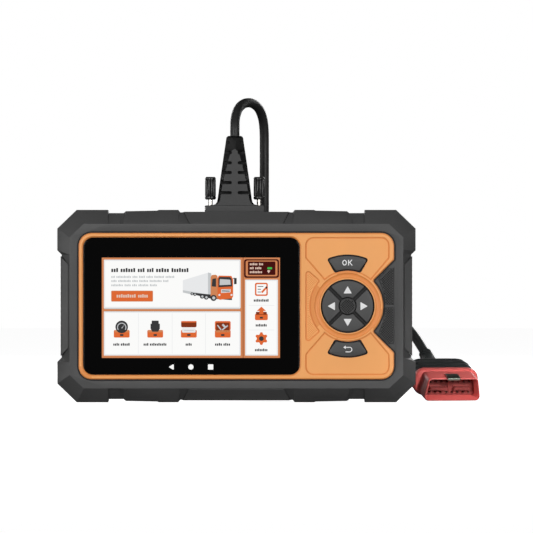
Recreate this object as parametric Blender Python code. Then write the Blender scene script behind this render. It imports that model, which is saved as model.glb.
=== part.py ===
"""Tablet-style vehicle code reader with its cable and 16-pin vehicle plug.

The tablet stands upright on its long lower edge: +X to its right, +Z up, and its face looks
along -Y. The origin is under the middle of the tablet. Helpers take millimetres and store metres.
"""

import math

import bmesh
import bpy
from mathutils import Matrix, Vector
from mathutils.geometry import interpolate_bezier

MM = 0.001
GAP = 0.3  # clearance between neighbouring pieces
THROUGH = 60.0  # a cutter's overlength

# Case: half sizes are measured from the middle of the tablet
HALF_HEIGHT = 65.9
FACE_Y = 20.0  # the front face is at -FACE_Y
BACK_Y = 20.7  # the rear face, as far back as the key tops stand forward
WALL_Y = 11.0  # the outer wall runs from -WALL_Y to +WALL_Y, sloped rims beyond
PARTING_Y = 1.0
WALL = 2.5
RIM_FACE = (114.1, 56.25)  # half width and half height of the flat front face
LEDGE_FRONT, LEDGE_BACK = -16.9, -14.8  # inner shelf that the bezel rests on

# Outer wall from the middle of a side to the middle of the top: x, height above the middle
OUTER_QUARTER = [
    (119.7, 35.2), (122.7, 38.2), (122.7, 53.1), (109.4, 65.9), (88.0, 65.9), (87.6, 63.7),
    (77.3, 63.7), (75.7, 65.0), (54.2, 65.4), (53.2, 65.9), (39.9, 65.9), (38.5, 64.2),
]
FACE_CORNER = (104.3, 47.1)  # where the face's corner cut starts and ends

# Front bezel and glass
BEZEL_HALF_WIDTH, BEZEL_HALF_HEIGHT, BEZEL_CORNER = 107.9, 50.1, 8.9
BEZEL_FRONT, BEZEL_BACK = -20.2, -17.2
GASKET_WIDTH = 0.5
GLASS_LEFT, GLASS_RIGHT, GLASS_HALF_HEIGHT, GLASS_CORNER = -104.6, 43.2, 46.75, 6.6
GLASS_FRONT, GLASS_BACK = -19.5, -18.4
SCREEN_LIP = 2.5

# Round pad of arrow keys, and the two sector keys
PAD_X = 76.1
PAD_RADIUS = 17.5
HUB_RADIUS = 5.6
ARM_HALF_WIDTH = 1.05
WAIST_RADIUS = 24.4
SECTOR_INNER, SECTOR_OUTER = 24.7, 34.9
SECTOR_HALF_INNER, SECTOR_HALF_OUTER = 8.7, 13.9
KEY_FRONT, KEY_FLANGE_FRONT, KEY_BACK = -20.7, -16.9, -16.1
KEY_FLANGE = 1.2

# Cable connector in the top edge
PLUG_X = -1.2
POST_OFFSET = 16.65
HOOD_BASE = 130.8
HOOD_BASE_TOP = 134.8
BOOT_TOP = 182.0

# Cable: diameter, and the ring that its wound length fills
CABLE = 6.5
COIL_CENTRE = (40.0, 80.0)
COIL_RADIUS = 36.0
COIL_HALF_WIDTH = 9.75
COIL_BOTTOM, COIL_TOP = 1.5, 13.7

# Vehicle plug: its mouth's middle, turned to the right and nose down
MOUTH = (149.0, 16.0, 8.2)
MOUTH_YAW, MOUTH_PITCH = 15.0, 16.5

LEAD_ROUTE = [
    (-1.1, 0.0, 182.3), (-1.1, 0.4, 188.0), (-0.8, 3.2, 195.0), (1.2, 9.4, 201.4),
    (5.2, 17.2, 205.2), (10.2, 25.2, 205.7), (14.8, 32.8, 202.6), (17.7, 38.6, 196.4),
    (18.9, 42.0, 188.0), (19.1, 43.6, 176.0), (19.1, 43.9, 155.0), (19.1, 43.9, 130.0),
    (19.1, 43.9, 105.0), (19.1, 43.9, 80.0), (19.2, 43.8, 60.0), (20.0, 43.6, 45.0),
    (23.4, 43.4, 31.6), (31.0, 43.5, 21.8), (41.0, 44.0, 17.6), (49.0, 45.2, 17.25),
]
TAIL_ROUTE = [
    (75.9, 76.0, 17.25), (76.2, 81.0, 17.9), (77.8, 86.8, 21.2), (80.6, 93.2, 28.0),
    (84.8, 98.4, 36.2), (90.6, 102.2, 43.8), (97.4, 104.4, 49.8), (105.0, 104.2, 53.2),
    (112.6, 101.2, 53.4), (118.8, 96.6, 50.3), (123.6, 91.2, 44.9), (127.4, 85.9, 39.1),
    (130.75, 80.45, 33.45),
]
RELIEF_ROUTE = [  # the sleeve that bends up from the vehicle plug
    (137.1, 60.5, 21.85), (135.6, 66.0, 23.55), (134.2, 71.2, 25.6), (133.0, 76.0, 28.6),
    (131.0, 80.0, 32.9),
]
RELIEF_RADII = (6.6, 4.7)


def clear_scene():
    for item in list(bpy.data.objects):
        bpy.data.objects.remove(item, do_unlink=True)


def material(name, colour, roughness, metallic=0.0):
    made = bpy.data.materials.new(name)
    made.use_nodes = True
    shader = made.node_tree.nodes["Principled BSDF"]
    shader.inputs["Base Color"].default_value = (*colour, 1.0)
    shader.inputs["Roughness"].default_value = roughness
    shader.inputs["Metallic"].default_value = metallic
    return made


def make_materials():
    return {
        "case": material("case_grey", (0.085, 0.085, 0.085), 0.5),
        "dark": material("dark_grey", (0.035, 0.035, 0.035), 0.65),
        "key": material("key_grey", (0.09, 0.09, 0.09), 0.45),
        "orange": material("bezel_orange", (0.86, 0.38, 0.13), 0.35),
        "black": material("black_plastic", (0.012, 0.012, 0.012), 0.5),
        "glass": material("cover_glass", (0.004, 0.004, 0.004), 0.06),
        "board": material("circuit_board", (0.01, 0.08, 0.03), 0.5),
        "red": material("plug_red", (0.45, 0.05, 0.05), 0.4),
        "steel": material("bright_steel", (0.6, 0.6, 0.6), 0.25, 1.0),
        "rubber": material("black_rubber", (0.015, 0.015, 0.015), 0.7),
    }


# Outlines in the x-z plane, anticlockwise seen from the front


def mirrored_ring(quarter):
    """A ring symmetric about both axes, from the points of its right upper quarter."""
    left_upper = [(-x, z) for x, z in reversed(quarter)]
    left_lower = [(-x, -z) for x, z in quarter]
    right_lower = [(x, -z) for x, z in reversed(quarter)]
    return [(x, z + HALF_HEIGHT) for x, z in quarter + left_upper + left_lower + right_lower]


def octagon(half_width, half_height, cut):
    return mirrored_ring([(half_width, half_height - cut), (half_width - cut, half_height)])


def rounded(corners, steps=5):
    """An outline whose corners (x, z, radius) are rounded by arcs."""
    points = []
    for index, (x, z, radius) in enumerate(corners):
        here = Vector((x, z))
        before = (Vector(corners[index - 1][:2]) - here).normalized()
        after = (Vector(corners[(index + 1) % len(corners)][:2]) - here).normalized()
        if radius <= 0:
            points.append((x, z))
            continue
        half = before.angle(after) / 2
        middle = here + (before + after).normalized() * (radius / math.sin(half))
        start = here + before * (radius / math.tan(half)) - middle
        turn = start.angle_signed(here + after * (radius / math.tan(half)) - middle)
        for step in range(steps + 1):
            points.append(tuple(middle + Matrix.Rotation(-turn * step / steps, 2) @ start))
    return points


def rounded_box(left, right, low, high, radius, steps=5):
    return rounded([(right, low, radius), (right, high, radius), (left, high, radius),
                    (left, low, radius)], steps)


def circle(x, z, radius, sides=32):
    angles = [math.tau * step / sides for step in range(sides)]
    return [(x + radius * math.cos(angle), z + radius * math.sin(angle)) for angle in angles]


def offset(outline, distance):
    """The outline moved outwards by a distance, corners kept sharp."""
    moved = []
    for index, point in enumerate(outline):
        here = Vector(point)
        before = (here - Vector(outline[index - 1])).normalized()
        after = (Vector(outline[(index + 1) % len(outline)]) - here).normalized()
        first, second = Vector((before.y, -before.x)), Vector((after.y, -after.x))
        moved.append(tuple(here + (first + second) * (distance / (1 + first.dot(second)))))
    return moved


def arc_block(inner, half_inner, outer, half_outer, toward, steps=8):
    """A piece of a ring about the pad's middle; half widths in mm, toward in degrees."""
    points = []
    for radius, half, sign in ((inner, half_inner, 1), (outer, half_outer, -1)):
        reach = math.asin(half / radius)
        for step in range(steps + 1):
            angle = math.radians(toward) + sign * reach * (1 - 2 * step / steps)
            points.append((PAD_X + radius * math.cos(angle), HALF_HEIGHT + radius * math.sin(angle)))
    return points


def petal(toward, inner=HUB_RADIUS + 0.6, outer=PAD_RADIUS, arm=ARM_HALF_WIDTH + GAP):
    """Quarter of the round pad between two arms of the cross."""
    def half(radius):
        return radius * math.sin(math.radians(45) - math.asin(arm / radius))
    return arc_block(inner, half(inner), outer, half(outer), toward)


def sector_key(toward, grow=0.0):
    return arc_block(SECTOR_INNER - grow, SECTOR_HALF_INNER + grow, SECTOR_OUTER + grow,
                     SECTOR_HALF_OUTER + grow, toward)


def bezel_outline():
    """Rounded rectangle whose right side is waisted round the pad, between 45 degree flanks."""
    reach = BEZEL_HALF_WIDTH - PAD_X
    low, high = HALF_HEIGHT - BEZEL_HALF_HEIGHT, HALF_HEIGHT + BEZEL_HALF_HEIGHT
    waist = []
    steps = 14
    for step in range(steps + 1):
        angle = math.radians(-45 + 90 * step / steps)
        radius = 1.2 if step in (0, steps) else 0.0
        waist.append((PAD_X + WAIST_RADIUS * math.cos(angle),
                      HALF_HEIGHT + WAIST_RADIUS * math.sin(angle), radius))
    return rounded([
        (BEZEL_HALF_WIDTH, low, BEZEL_CORNER), (BEZEL_HALF_WIDTH, HALF_HEIGHT - reach, 0.8), *waist,
        (BEZEL_HALF_WIDTH, HALF_HEIGHT + reach, 0.8), (BEZEL_HALF_WIDTH, high, BEZEL_CORNER),
        (-BEZEL_HALF_WIDTH, high, BEZEL_CORNER), (-BEZEL_HALF_WIDTH, low, BEZEL_CORNER),
    ])


def glass_outline():
    return rounded_box(GLASS_LEFT, GLASS_RIGHT, HALF_HEIGHT - GLASS_HALF_HEIGHT,
                       HALF_HEIGHT + GLASS_HALF_HEIGHT, GLASS_CORNER)


def pad_outline():
    """Dark pad on the case, right of the waist, above the middle."""
    right, low, high = 107.6, 1.0, 25.7
    centre_x, radius = 60.7, 41.0
    first, last = math.asin(low / radius), math.radians(27)
    steps = 6
    arc = []
    for step in range(steps + 1):
        angle = last + (first - last) * step / steps
        arc.append((centre_x + radius * math.cos(angle), HALF_HEIGHT + radius * math.sin(angle)))
    return [(right, HALF_HEIGHT + low), (right, HALF_HEIGHT + high), (104.0, HALF_HEIGHT + high), *arc]


# Solids


def loft(name, rings, surface=None):
    """A closed solid through rings of equally many points, capped at both ends."""
    mesh = bmesh.new()
    loops = [[mesh.verts.new([value * MM for value in point]) for point in ring] for ring in rings]
    count = len(loops[0])
    for lower, upper in zip(loops, loops[1:]):
        for index in range(count):
            after = (index + 1) % count
            mesh.faces.new([lower[index], lower[after], upper[after], upper[index]])
    mesh.faces.new(loops[0])
    mesh.faces.new(loops[-1])
    bmesh.ops.recalc_face_normals(mesh, faces=mesh.faces)
    data = bpy.data.meshes.new(name)
    mesh.to_mesh(data)
    mesh.free()
    made = bpy.data.objects.new(name, data)
    bpy.context.scene.collection.objects.link(made)
    if surface:
        data.materials.append(surface)
    return made


def prism(name, outline, front, back, surface=None):
    """An x-z outline given depth along y."""
    return loft(name, [[(x, y, z) for x, z in outline] for y in (front, back)], surface)


def stepped(name, levels, surface=None):
    """Prisms of equally many points on one another: levels are (outline, y)."""
    return loft(name, [[(x, y, z) for x, z in outline] for outline, y in levels], surface)


def box(name, low, high, surface=None):
    corners = [(low[0], low[2]), (high[0], low[2]), (high[0], high[2]), (low[0], high[2])]
    return prism(name, corners, low[1], high[1], surface)


def rod(name, middle, profile, axis="z", sides=24, surface=None, turned=0.0):
    """A turned solid: profile lists (radius, place along the axis)."""
    rings = []
    for radius, along in profile:
        ring = []
        for step in range(sides):
            angle = math.tau * (step + turned) / sides
            across = (radius * math.cos(angle), radius * math.sin(angle))
            if axis == "z":
                ring.append((middle[0] + across[0], middle[1] + across[1], along))
            else:
                ring.append((middle[0] + across[0], along, middle[1] + across[1]))
        rings.append(ring)
    return loft(name, rings, surface)


def combine(target, tools, operation):
    """Boolean modifiers applied at once, and their tools removed."""
    for tool in tools:
        modifier = target.modifiers.new("Combine", "BOOLEAN")
        modifier.operation = operation
        modifier.solver = "EXACT"
        modifier.object = tool
        shaped = target.evaluated_get(bpy.context.evaluated_depsgraph_get())
        target.data = bpy.data.meshes.new_from_object(shaped)
        target.modifiers.clear()
        bpy.data.objects.remove(tool, do_unlink=True)
    return target


def carve(target, *cutters):
    return combine(target, cutters, "DIFFERENCE")


def fuse(target, *parts):
    return combine(target, parts, "UNION")


def smooth(made, degrees=35):
    made.data.shade_smooth()
    made.data.set_sharp_from_angle(angle=math.radians(degrees))
    return made


# Case


def wrap_section(start, outer, thickness, grow=0.0):
    """Channel section (y, distance from the middle) that wraps over a rim of the case.

    start and outer are the distances at the piece's edge on the sloped rim and at its outside.
    """
    slope = 1 / math.sqrt(2)
    edge = Vector((-start[1], start[0])) + Vector((-slope, -slope)) * grow
    bend = Vector((-outer[1], outer[0]))
    out = Vector((-slope, slope)) * grow * 6
    inside = Vector((slope, -slope)) * (thickness + grow)
    half = [edge + out, bend + Vector((-grow * 2.5, grow * 6))]
    inner = [edge + inside, bend + Vector((0.41 * (thickness + grow), -thickness - grow))]
    outside = half + [Vector((-point.x, point.y)) for point in reversed(half)]
    return outside + [Vector((-point.x, point.y)) for point in inner] + list(reversed(inner))


def wrap_piece(name, place, start, outer, thickness, half_lengths, grow=0.0, surface=None):
    """A channel whose ends slant: half_lengths at its edge on the rim and at its outside."""
    section = wrap_section(start, outer, thickness, grow)
    rate = (half_lengths[1] - half_lengths[0]) / (outer[0] - start[0])
    rings = []
    for sign in (-1, 1):
        ring = []
        for point in section:
            half = half_lengths[0] + (point.y - start[0]) * rate + grow
            ring.append(place(sign * half, point.x, point.y))
        rings.append(ring)
    return loft(name, rings, surface)


def on_right(along, y, out):
    return (out, y, HALF_HEIGHT + along)


def on_left(along, y, out):
    return (-out, y, HALF_HEIGHT + along)


def on_top(along, y, out):
    return (along, y, HALF_HEIGHT + out)


def on_bottom(along, y, out):
    return (along, y, HALF_HEIGHT - out)


def rim_y(distance, face, wall):
    """How far from the middle plane the sloped rim is at a distance from the tablet's middle."""
    return FACE_Y - (distance - face) / (wall - face) * (FACE_Y - WALL_Y)


SIDE_START = (115.3, rim_y(115.3, RIM_FACE[0], 122.7))
SIDE_OUTER = (120.4, rim_y(120.4, RIM_FACE[0], 122.7))
PLATE_START = (56.75, rim_y(56.75, RIM_FACE[1], HALF_HEIGHT))
PLATE_OUTER = (64.6, rim_y(64.6, RIM_FACE[1], HALF_HEIGHT))
WRAPS = {
    "side_grip_right": (on_right, SIDE_START, SIDE_OUTER, 1.9, (28.5, 34.1)),
    "side_grip_left": (on_left, SIDE_START, SIDE_OUTER, 1.9, (28.5, 34.1)),
    "connector_plate": (on_top, PLATE_START, PLATE_OUTER, 1.8, (32.1, 36.1)),
    "bottom_plate": (on_bottom, PLATE_START, PLATE_OUTER, 1.8, (32.6, 36.6)),
}


def wrap_cutters():
    return [wrap_piece("cutter", *values, grow=GAP) for values in WRAPS.values()]


def notch_cutters():
    """Square recesses across the long rims, next to the corner blocks."""
    cutters = []
    top = HALF_HEIGHT - 2.2
    floor = RIM_FACE[1] + 0.1
    half = [(-FACE_Y - 1, floor), (-18.7, floor), (-11.2, top)]
    section = half + [(-y, out) for y, out in reversed(half)] + [(21.0, 80.0), (-21.0, 80.0)]
    for side in (-1, 1):
        for place in (on_top, on_bottom):
            rings = [[place(side * along, y, out) for y, out in section] for along in (79.0, 87.5)]
            cutters.append(loft("cutter", rings))
    return cutters


def connector_opening(name="cutter", grow=0.0):
    half_x, half_y = 19.9 + grow, 5.7 + grow
    return box(name, (PLUG_X - half_x, -half_y, 117.0), (PLUG_X + half_x, half_y, 140.0))


def face_ring():
    quarter = []
    for x, _ in OUTER_QUARTER:
        quarter.append((min(x, FACE_CORNER[0] if x < 122 else RIM_FACE[0]), RIM_FACE[1]))
    heights = [35.2, 38.2, FACE_CORNER[1]]
    quarter[:3] = [(RIM_FACE[0], height) for height in heights]
    return mirrored_ring(quarter)


def shell(name, inner_y, sign, surface):
    """Half of the case: sign -1 is the front, +1 the back. It is open at the parting plane."""
    wall, face = mirrored_ring(OUTER_QUARTER), face_ring()
    levels = [(wall, inner_y), (wall, sign * WALL_Y), (face, -FACE_Y if sign < 0 else BACK_Y)]
    made = stepped(name, levels, surface)
    floor = LEDGE_BACK if sign < 0 else BACK_Y - WALL
    narrow, wide = octagon(111.5, 53.4, 8.0), octagon(115.2, 60.3, 10.0)
    cavity = stepped("cutter", [(wide, inner_y - sign * 1.0), (wide, sign * 9.5), (narrow, floor)])
    return carve(made, cavity)


SCREW_PLACES = [(side * 104.0, HALF_HEIGHT + up) for side in (-1, 1) for up in (-45.9, 0.0, 45.9)]
BOARD_SCREW_PLACES = [(x, HALF_HEIGHT + up) for x in (-101.5, 42.5) for up in (-26.0, 26.0)]


def front_housing(colours):
    made = shell("front_housing", PARTING_Y - GAP / 2, -1, colours["case"])
    bosses = [rod("boss", place, [(3.5, LEDGE_BACK - 0.5), (3.5, 6.0)], "y", 16)
              for place in SCREW_PLACES]
    bosses += [rod("boss", place, [(3.0, LEDGE_BACK - 0.5), (3.0, -11.4)], "y", 16)
               for place in BOARD_SCREW_PLACES]
    fuse(made, *bosses)
    rim = offset(bezel_outline(), 2 * GAP + GASKET_WIDTH)
    low, high = HALF_HEIGHT - 41.4, HALF_HEIGHT + 40.1
    upper_pad = offset(pad_outline(), GAP)
    lower_pad = [(x, 2 * HALF_HEIGHT - z) for x, z in upper_pad]
    cutters = [
        prism("cutter", rim, -FACE_Y - 1, LEDGE_FRONT),
        prism("cutter", rounded_box(-98.0, 36.0, low, high, 3.0), -THROUGH, LEDGE_BACK + 0.5),
        prism("cutter", rounded_box(49.0, 99.3, 26.6, 105.2, 3.0), LEDGE_FRONT - 0.1, LEDGE_BACK + 0.5),
        prism("cutter", upper_pad, -FACE_Y - 1, -18.6),
        prism("cutter", lower_pad, -FACE_Y - 1, -18.6),
        connector_opening(),
    ]
    cutters += [rod("cutter", place, [(1.7, -8.0), (1.7, 8.0)], "y", 12) for place in SCREW_PLACES]
    cutters += [rod("cutter", place, [(1.5, -14.2), (1.5, -10.0)], "y", 12)
                for place in BOARD_SCREW_PLACES]
    return carve(made, *cutters, *wrap_cutters(), *notch_cutters())


def rear_housing(colours):
    made = shell("rear_housing", PARTING_Y + GAP / 2, 1, colours["case"])
    fuse(made, *[rod("boss", place, [(4.4, 6.3), (4.4, BACK_Y - WALL + 0.5)], "y", 16)
                 for place in SCREW_PLACES])
    cutters = [connector_opening()]
    for place in SCREW_PLACES:
        profile = [(1.7, 5.0), (1.7, BACK_Y - WALL), (3.3, BACK_Y - WALL), (3.3, BACK_Y + 1.0)]
        cutters.append(rod("cutter", place, profile, "y", 16))
    for row in range(5):
        z = HALF_HEIGHT - 9.0 + 4.5 * row
        cutters.append(prism("cutter", rounded_box(-72.0, -48.0, z - 0.9, z + 0.9, 0.8, 2), 15.0, 22.0))
    return carve(made, *cutters, *wrap_cutters(), *notch_cutters())


def case_inserts(colours):
    for name, values in WRAPS.items():
        surface = colours["dark"] if "grip" in name else colours["case"]
        piece = wrap_piece(name, *values, surface=surface)
        if name == "connector_plate":
            carve(piece, connector_opening())
    upper = pad_outline()
    prism("grip_pad_upper", upper, -20.1, -18.9, colours["dark"])
    lower = [(x, 2 * HALF_HEIGHT - z) for x, z in upper]
    prism("grip_pad_lower", lower, -20.1, -18.9, colours["dark"])


# Face


def front_bezel(colours):
    made = prism("front_bezel", bezel_outline(), BEZEL_FRONT, BEZEL_BACK, colours["orange"])
    carve(
        made,
        prism("cutter", offset(glass_outline(), GAP), -THROUGH, GLASS_BACK + GAP),
        prism("cutter", offset(glass_outline(), -SCREEN_LIP), -THROUGH, 0.0),
        prism("cutter", circle(PAD_X, HALF_HEIGHT, PAD_RADIUS + 0.4, 48), -THROUGH, 0.0),
        prism("cutter", sector_key(90, 0.4), -THROUGH, 0.0),
        prism("cutter", sector_key(-90, 0.4), -THROUGH, 0.0),
    )


def bezel_gasket(colours):
    outer = offset(bezel_outline(), GAP + GASKET_WIDTH)
    made = prism("bezel_gasket", outer, -19.9, BEZEL_BACK, colours["rubber"])
    carve(made, prism("cutter", offset(bezel_outline(), GAP), -THROUGH, 0.0))


def screen(colours):
    prism("cover_glass", glass_outline(), GLASS_FRONT, GLASS_BACK, colours["glass"])
    low, high = HALF_HEIGHT - 38.9, HALF_HEIGHT + 37.1
    box("lcd_module", (-95.0, -18.1, low), (33.0, -14.9, high), colours["steel"])


def keys(colours):
    for name, toward in {"key_right": 0, "key_up": 90, "key_left": 180, "key_down": 270}.items():
        top = petal(toward)
        flange = petal(toward, HUB_RADIUS + 0.5, PAD_RADIUS + KEY_FLANGE, ARM_HALF_WIDTH + 0.2)
        stepped(name, [(top, KEY_FRONT), (top, KEY_FLANGE_FRONT), (flange, KEY_FLANGE_FRONT),
                       (flange, KEY_BACK)], colours["key"])
    for name, toward in {"key_ok": 90, "key_back": 270}.items():
        top, flange = sector_key(toward), sector_key(toward, KEY_FLANGE)
        stepped(name, [(top, KEY_FRONT), (top, KEY_FLANGE_FRONT), (flange, KEY_FLANGE_FRONT),
                       (flange, KEY_BACK)], colours["key"])


def dpad_spider(colours):
    """Cross between the arrow keys, hooked behind the bezel at its four ends."""
    made = rod("dpad_spider", (PAD_X, HALF_HEIGHT), [(HUB_RADIUS, -20.0), (HUB_RADIUS, -15.3)],
               "y", 32, colours["black"])
    for quarter in range(4):
        angle = math.radians(45 + 90 * quarter)
        along, across = Vector((math.cos(angle), math.sin(angle))), Vector((-math.sin(angle), math.cos(angle)))
        middle = Vector((PAD_X, HALF_HEIGHT))

        def bar(reach, half_width, front, back):
            corners = [(0.5, -1), (reach, -1), (reach, 1), (0.5, 1)]
            outline = [tuple(middle + along * far + across * side * half_width)
                       for far, side in corners]
            return prism("arm", outline, front, back)

        fuse(made, bar(PAD_RADIUS, 0.95, -19.4, -15.4), bar(PAD_RADIUS + 1.6, 0.8, -16.9, -15.5))


def keypad(colours):
    mat = prism("keypad_mat", rounded_box(50.0, 98.3, 27.6, 104.2, 2.0), -15.0, -14.2, colours["rubber"])
    centres = [(PAD_X + reach * math.cos(math.radians(angle)), HALF_HEIGHT + reach * math.sin(math.radians(angle)))
               for angle, reach in ((0, 12), (90, 12), (180, 12), (270, 12), (90, 30), (270, 30))]
    fuse(mat, *[rod("dome", centre, [(3.4, -14.5), (2.0, -13.2)], "y", 16) for centre in centres])
    prism("key_board", rounded_box(48.0, 98.0, 27.0, 105.0, 1.5), -12.9, -11.7, colours["board"])


# Inside


def electronics(colours):
    board = prism("main_board", rounded_box(-106.0, 97.0, 27.0, 105.0, 2.0), -11.1, -9.5, colours["board"])
    carve(board, rod("cutter", (-104.0, HALF_HEIGHT), [(4.3, -13.0), (4.3, -7.0)], "y", 16),
          *[rod("cutter", place, [(1.6, -13.0), (1.6, -7.0)], "y", 12) for place in BOARD_SCREW_PLACES])
    prism("processor_shield", rounded_box(-78.0, -26.0, 40.0, 84.0, 1.5), -9.2, -6.9, colours["steel"])
    prism("battery_pack", rounded_box(-8.0, 30.0, 30.0, 94.0, 3.0), -9.0, 4.0, colours["black"])
    rod("speaker", (-60.0, HALF_HEIGHT), [(8.0, 8.0), (8.0, 12.0), (15.0, 14.6), (15.0, 17.0)], "y", 24,
        colours["black"])


def case_screws(colours):
    for index, place in enumerate(SCREW_PLACES, 1):
        profile = [(1.35, -6.0), (1.35, 18.5), (3.0, 18.5), (3.0, 19.8), (2.4, 20.3)]
        made = rod(f"case_screw_{index}", place, profile, "y", 16, colours["steel"])
        x, z = place
        carve(made, box("cutter", (x - 1.7, 19.3, z - 0.35), (x + 1.7, 22.0, z + 0.35)),
              box("cutter", (x - 0.35, 19.3, z - 1.7), (x + 0.35, 22.0, z + 1.7)))
    for index, place in enumerate(BOARD_SCREW_PLACES, 1):
        profile = [(1.2, -13.9), (1.2, -9.2), (2.6, -9.2), (2.6, -7.7)]
        rod(f"board_screw_{index}", place, profile, "y", 16, colours["steel"])


# Cable connector


def d_outline(half_width, half_depth, z):
    """D-shaped section of a D-sub connector, its wide side to the front."""
    shape = rounded([(half_width - 1.2, half_depth, 1.2), (1.2 - half_width, half_depth, 1.2),
                     (-half_width, -half_depth, 1.2), (half_width, -half_depth, 1.2)], 3)
    return [(PLUG_X + x, y, z) for x, y in shape]


def d_solid(name, half_width, half_depth, low, high, surface=None):
    return loft(name, [d_outline(half_width, half_depth, z) for z in (low, high)], surface)


def connector(colours):
    socket = box("db15_socket", (PLUG_X - 14, -9.2, 108.0), (PLUG_X + 14, 4.0, 119.0), colours["black"])
    fuse(socket, box("flange", (PLUG_X - 19.4, -5.4, 118.6), (PLUG_X + 19.4, 5.4, 119.8)),
         d_solid("insert", 12.0, 3.8, 119.5, 129.0))
    for name, side in (("jack_post_left", -1), ("jack_post_right", 1)):
        middle = (PLUG_X + side * POST_OFFSET, 0.0)
        post = rod(name, middle, [(2.9, 120.1), (2.9, 129.9)], "z", 6, colours["steel"])
        carve(post, rod("cutter", middle, [(1.75, 121.5), (1.75, 131.0)], "z", 16))
    plug = box("plug_shell", (PLUG_X - 19.0, -6.0, 130.6), (PLUG_X + 19.0, 6.0, 131.8), colours["steel"])
    fuse(plug, d_solid("tube", 13.2, 5.0, 120.4, 131.0))
    carve(plug, d_solid("cutter", 12.3, 4.1, 119.0, 130.9),
          *[rod("cutter", (PLUG_X + side * POST_OFFSET, 0.0), [(1.8, 125.0), (1.8, 135.0)], "z", 16)
            for side in (-1, 1)])


def hood_section(half_width, half_depth, z, chamfer):
    """Eight-sided section with a flat front, its sides bevelled."""
    half = [(half_width, half_depth - chamfer), (half_width - chamfer, half_depth)]
    upper = half + [(-x, y) for x, y in reversed(half)]
    return [(PLUG_X + x, y, z) for x, y in upper + [(-x, -y) for x, y in upper]]


def plug_hood(colours):
    levels = [  # half width, half depth, height, chamfer
        (20.5, 7.8, HOOD_BASE, 1.4), (20.5, 7.8, 133.6, 1.4), (19.8, 7.6, HOOD_BASE_TOP, 1.4),
        (13.6, 7.6, HOOD_BASE_TOP + 0.2, 2.0), (12.2, 7.6, 136.0, 2.2), (11.6, 7.6, 137.8, 2.4),
        (10.0, 7.4, 150.0, 2.8), (7.6, 6.6, 168.0, 2.6), (6.2, 5.8, 178.0, 2.2),
        (5.5, 5.5, BOOT_TOP - 0.8, 2.0), (5.0, 5.0, BOOT_TOP, 1.8),
    ]
    rings = [hood_section(*level) for level in levels]
    made = loft("plug_hood", rings, colours["black"])
    carve(made, box("cutter", (PLUG_X - 19.3, -6.3, 128.0), (PLUG_X + 19.3, 6.3, 132.1)),
          *[rod("cutter", (PLUG_X + side * POST_OFFSET, 0.0), [(1.9, 128.0), (1.9, 137.0)], "z", 16)
            for side in (-1, 1)])
    for name, side in (("thumb_screw_left", -1), ("thumb_screw_right", 1)):
        profile = [(1.3, 122.5), (1.5, 123.0), (1.5, 138.9), (3.1, 138.9), (3.75, 139.8), (3.75, 153.8),
                   (3.1, 154.5)]
        made = rod(name, (0.0, 0.0), profile, "z", 20, colours["steel"])
        made.location = ((PLUG_X + side * POST_OFFSET) * MM, 0.0, 0.0)


# Cable


def smooth_points(route, per_span=3):
    """Points of one smooth curve through a route, its tangents taken from each point's neighbours."""
    knots = [Vector(point) for point in route]
    ends = [knots[1] - knots[0], knots[-1] - knots[-2]]
    slopes = [ends[0]] + [(after - before) / 2 for before, after in zip(knots, knots[2:])] + [ends[1]]
    points = [knots[0]]
    for index in range(len(knots) - 1):
        first, last = knots[index], knots[index + 1]
        handles = first + slopes[index] / 3, last - slopes[index + 1] / 3
        points += interpolate_bezier(first, *handles, last, per_span + 1)[1:]
    return points


def tube(name, route, surface, per_span=2):
    curve = bpy.data.curves.new(name, "CURVE")
    curve.dimensions = "3D"
    curve.bevel_depth = CABLE / 2 * MM
    curve.bevel_resolution = 2
    curve.use_fill_caps = True
    points = smooth_points(route, per_span)
    spline = curve.splines.new("POLY")
    spline.points.add(len(points) - 1)
    for knot, point in zip(spline.points, points):
        knot.co = (*(point * MM), 1.0)
    curve.materials.append(surface)
    made = bpy.data.objects.new(name, curve)
    bpy.context.scene.collection.objects.link(made)


def cable(colours):
    tube("cable_lead", LEAD_ROUTE, colours["rubber"])
    tube("cable_tail", TAIL_ROUTE, colours["rubber"])
    inner, outer = COIL_RADIUS - COIL_HALF_WIDTH, COIL_RADIUS + COIL_HALF_WIDTH
    shoulder = 3.0
    section = [(inner, COIL_BOTTOM + shoulder), (inner + shoulder, COIL_BOTTOM),
               (outer - shoulder, COIL_BOTTOM), (outer, COIL_BOTTOM + shoulder),
               (outer - shoulder, COIL_TOP), (inner + shoulder, COIL_TOP)]
    ring_of_revolution("cable_coil", section, 36, colours["rubber"])
    # Tie round the ring at its side away from the vehicle plug
    left, y = COIL_CENTRE[0] - COIL_RADIUS, COIL_CENTRE[1]
    reach = COIL_HALF_WIDTH + 0.5
    tie = prism("cable_tie", rounded_box(left - reach - 0.8, left + reach + 0.8, 0.2, COIL_TOP + 1.2, 1.5),
                y - 2.0, y + 2.0, colours["black"])
    carve(tie, prism("cutter", rounded_box(left - reach, left + reach, 1.0, COIL_TOP + 0.4, 0.4),
                     y - 5.0, y + 5.0))


def sleeve(name, route, radii, surface, sides=20):
    """A tapering tube along a curved route."""
    points = smooth_points(route)
    rings = []
    for index, point in enumerate(points):
        along = points[min(index + 1, len(points) - 1)] - points[max(index - 1, 0)]
        across = along.cross(Vector((1.0, 0.0, 0.0))).normalized()
        upward = across.cross(along).normalized()
        radius = radii[0] + (radii[1] - radii[0]) * index / (len(points) - 1)
        angles = [math.tau * step / sides for step in range(sides)]
        rings.append([point + radius * (across * math.cos(angle) + upward * math.sin(angle))
                      for angle in angles])
    return loft(name, rings, surface)


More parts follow.
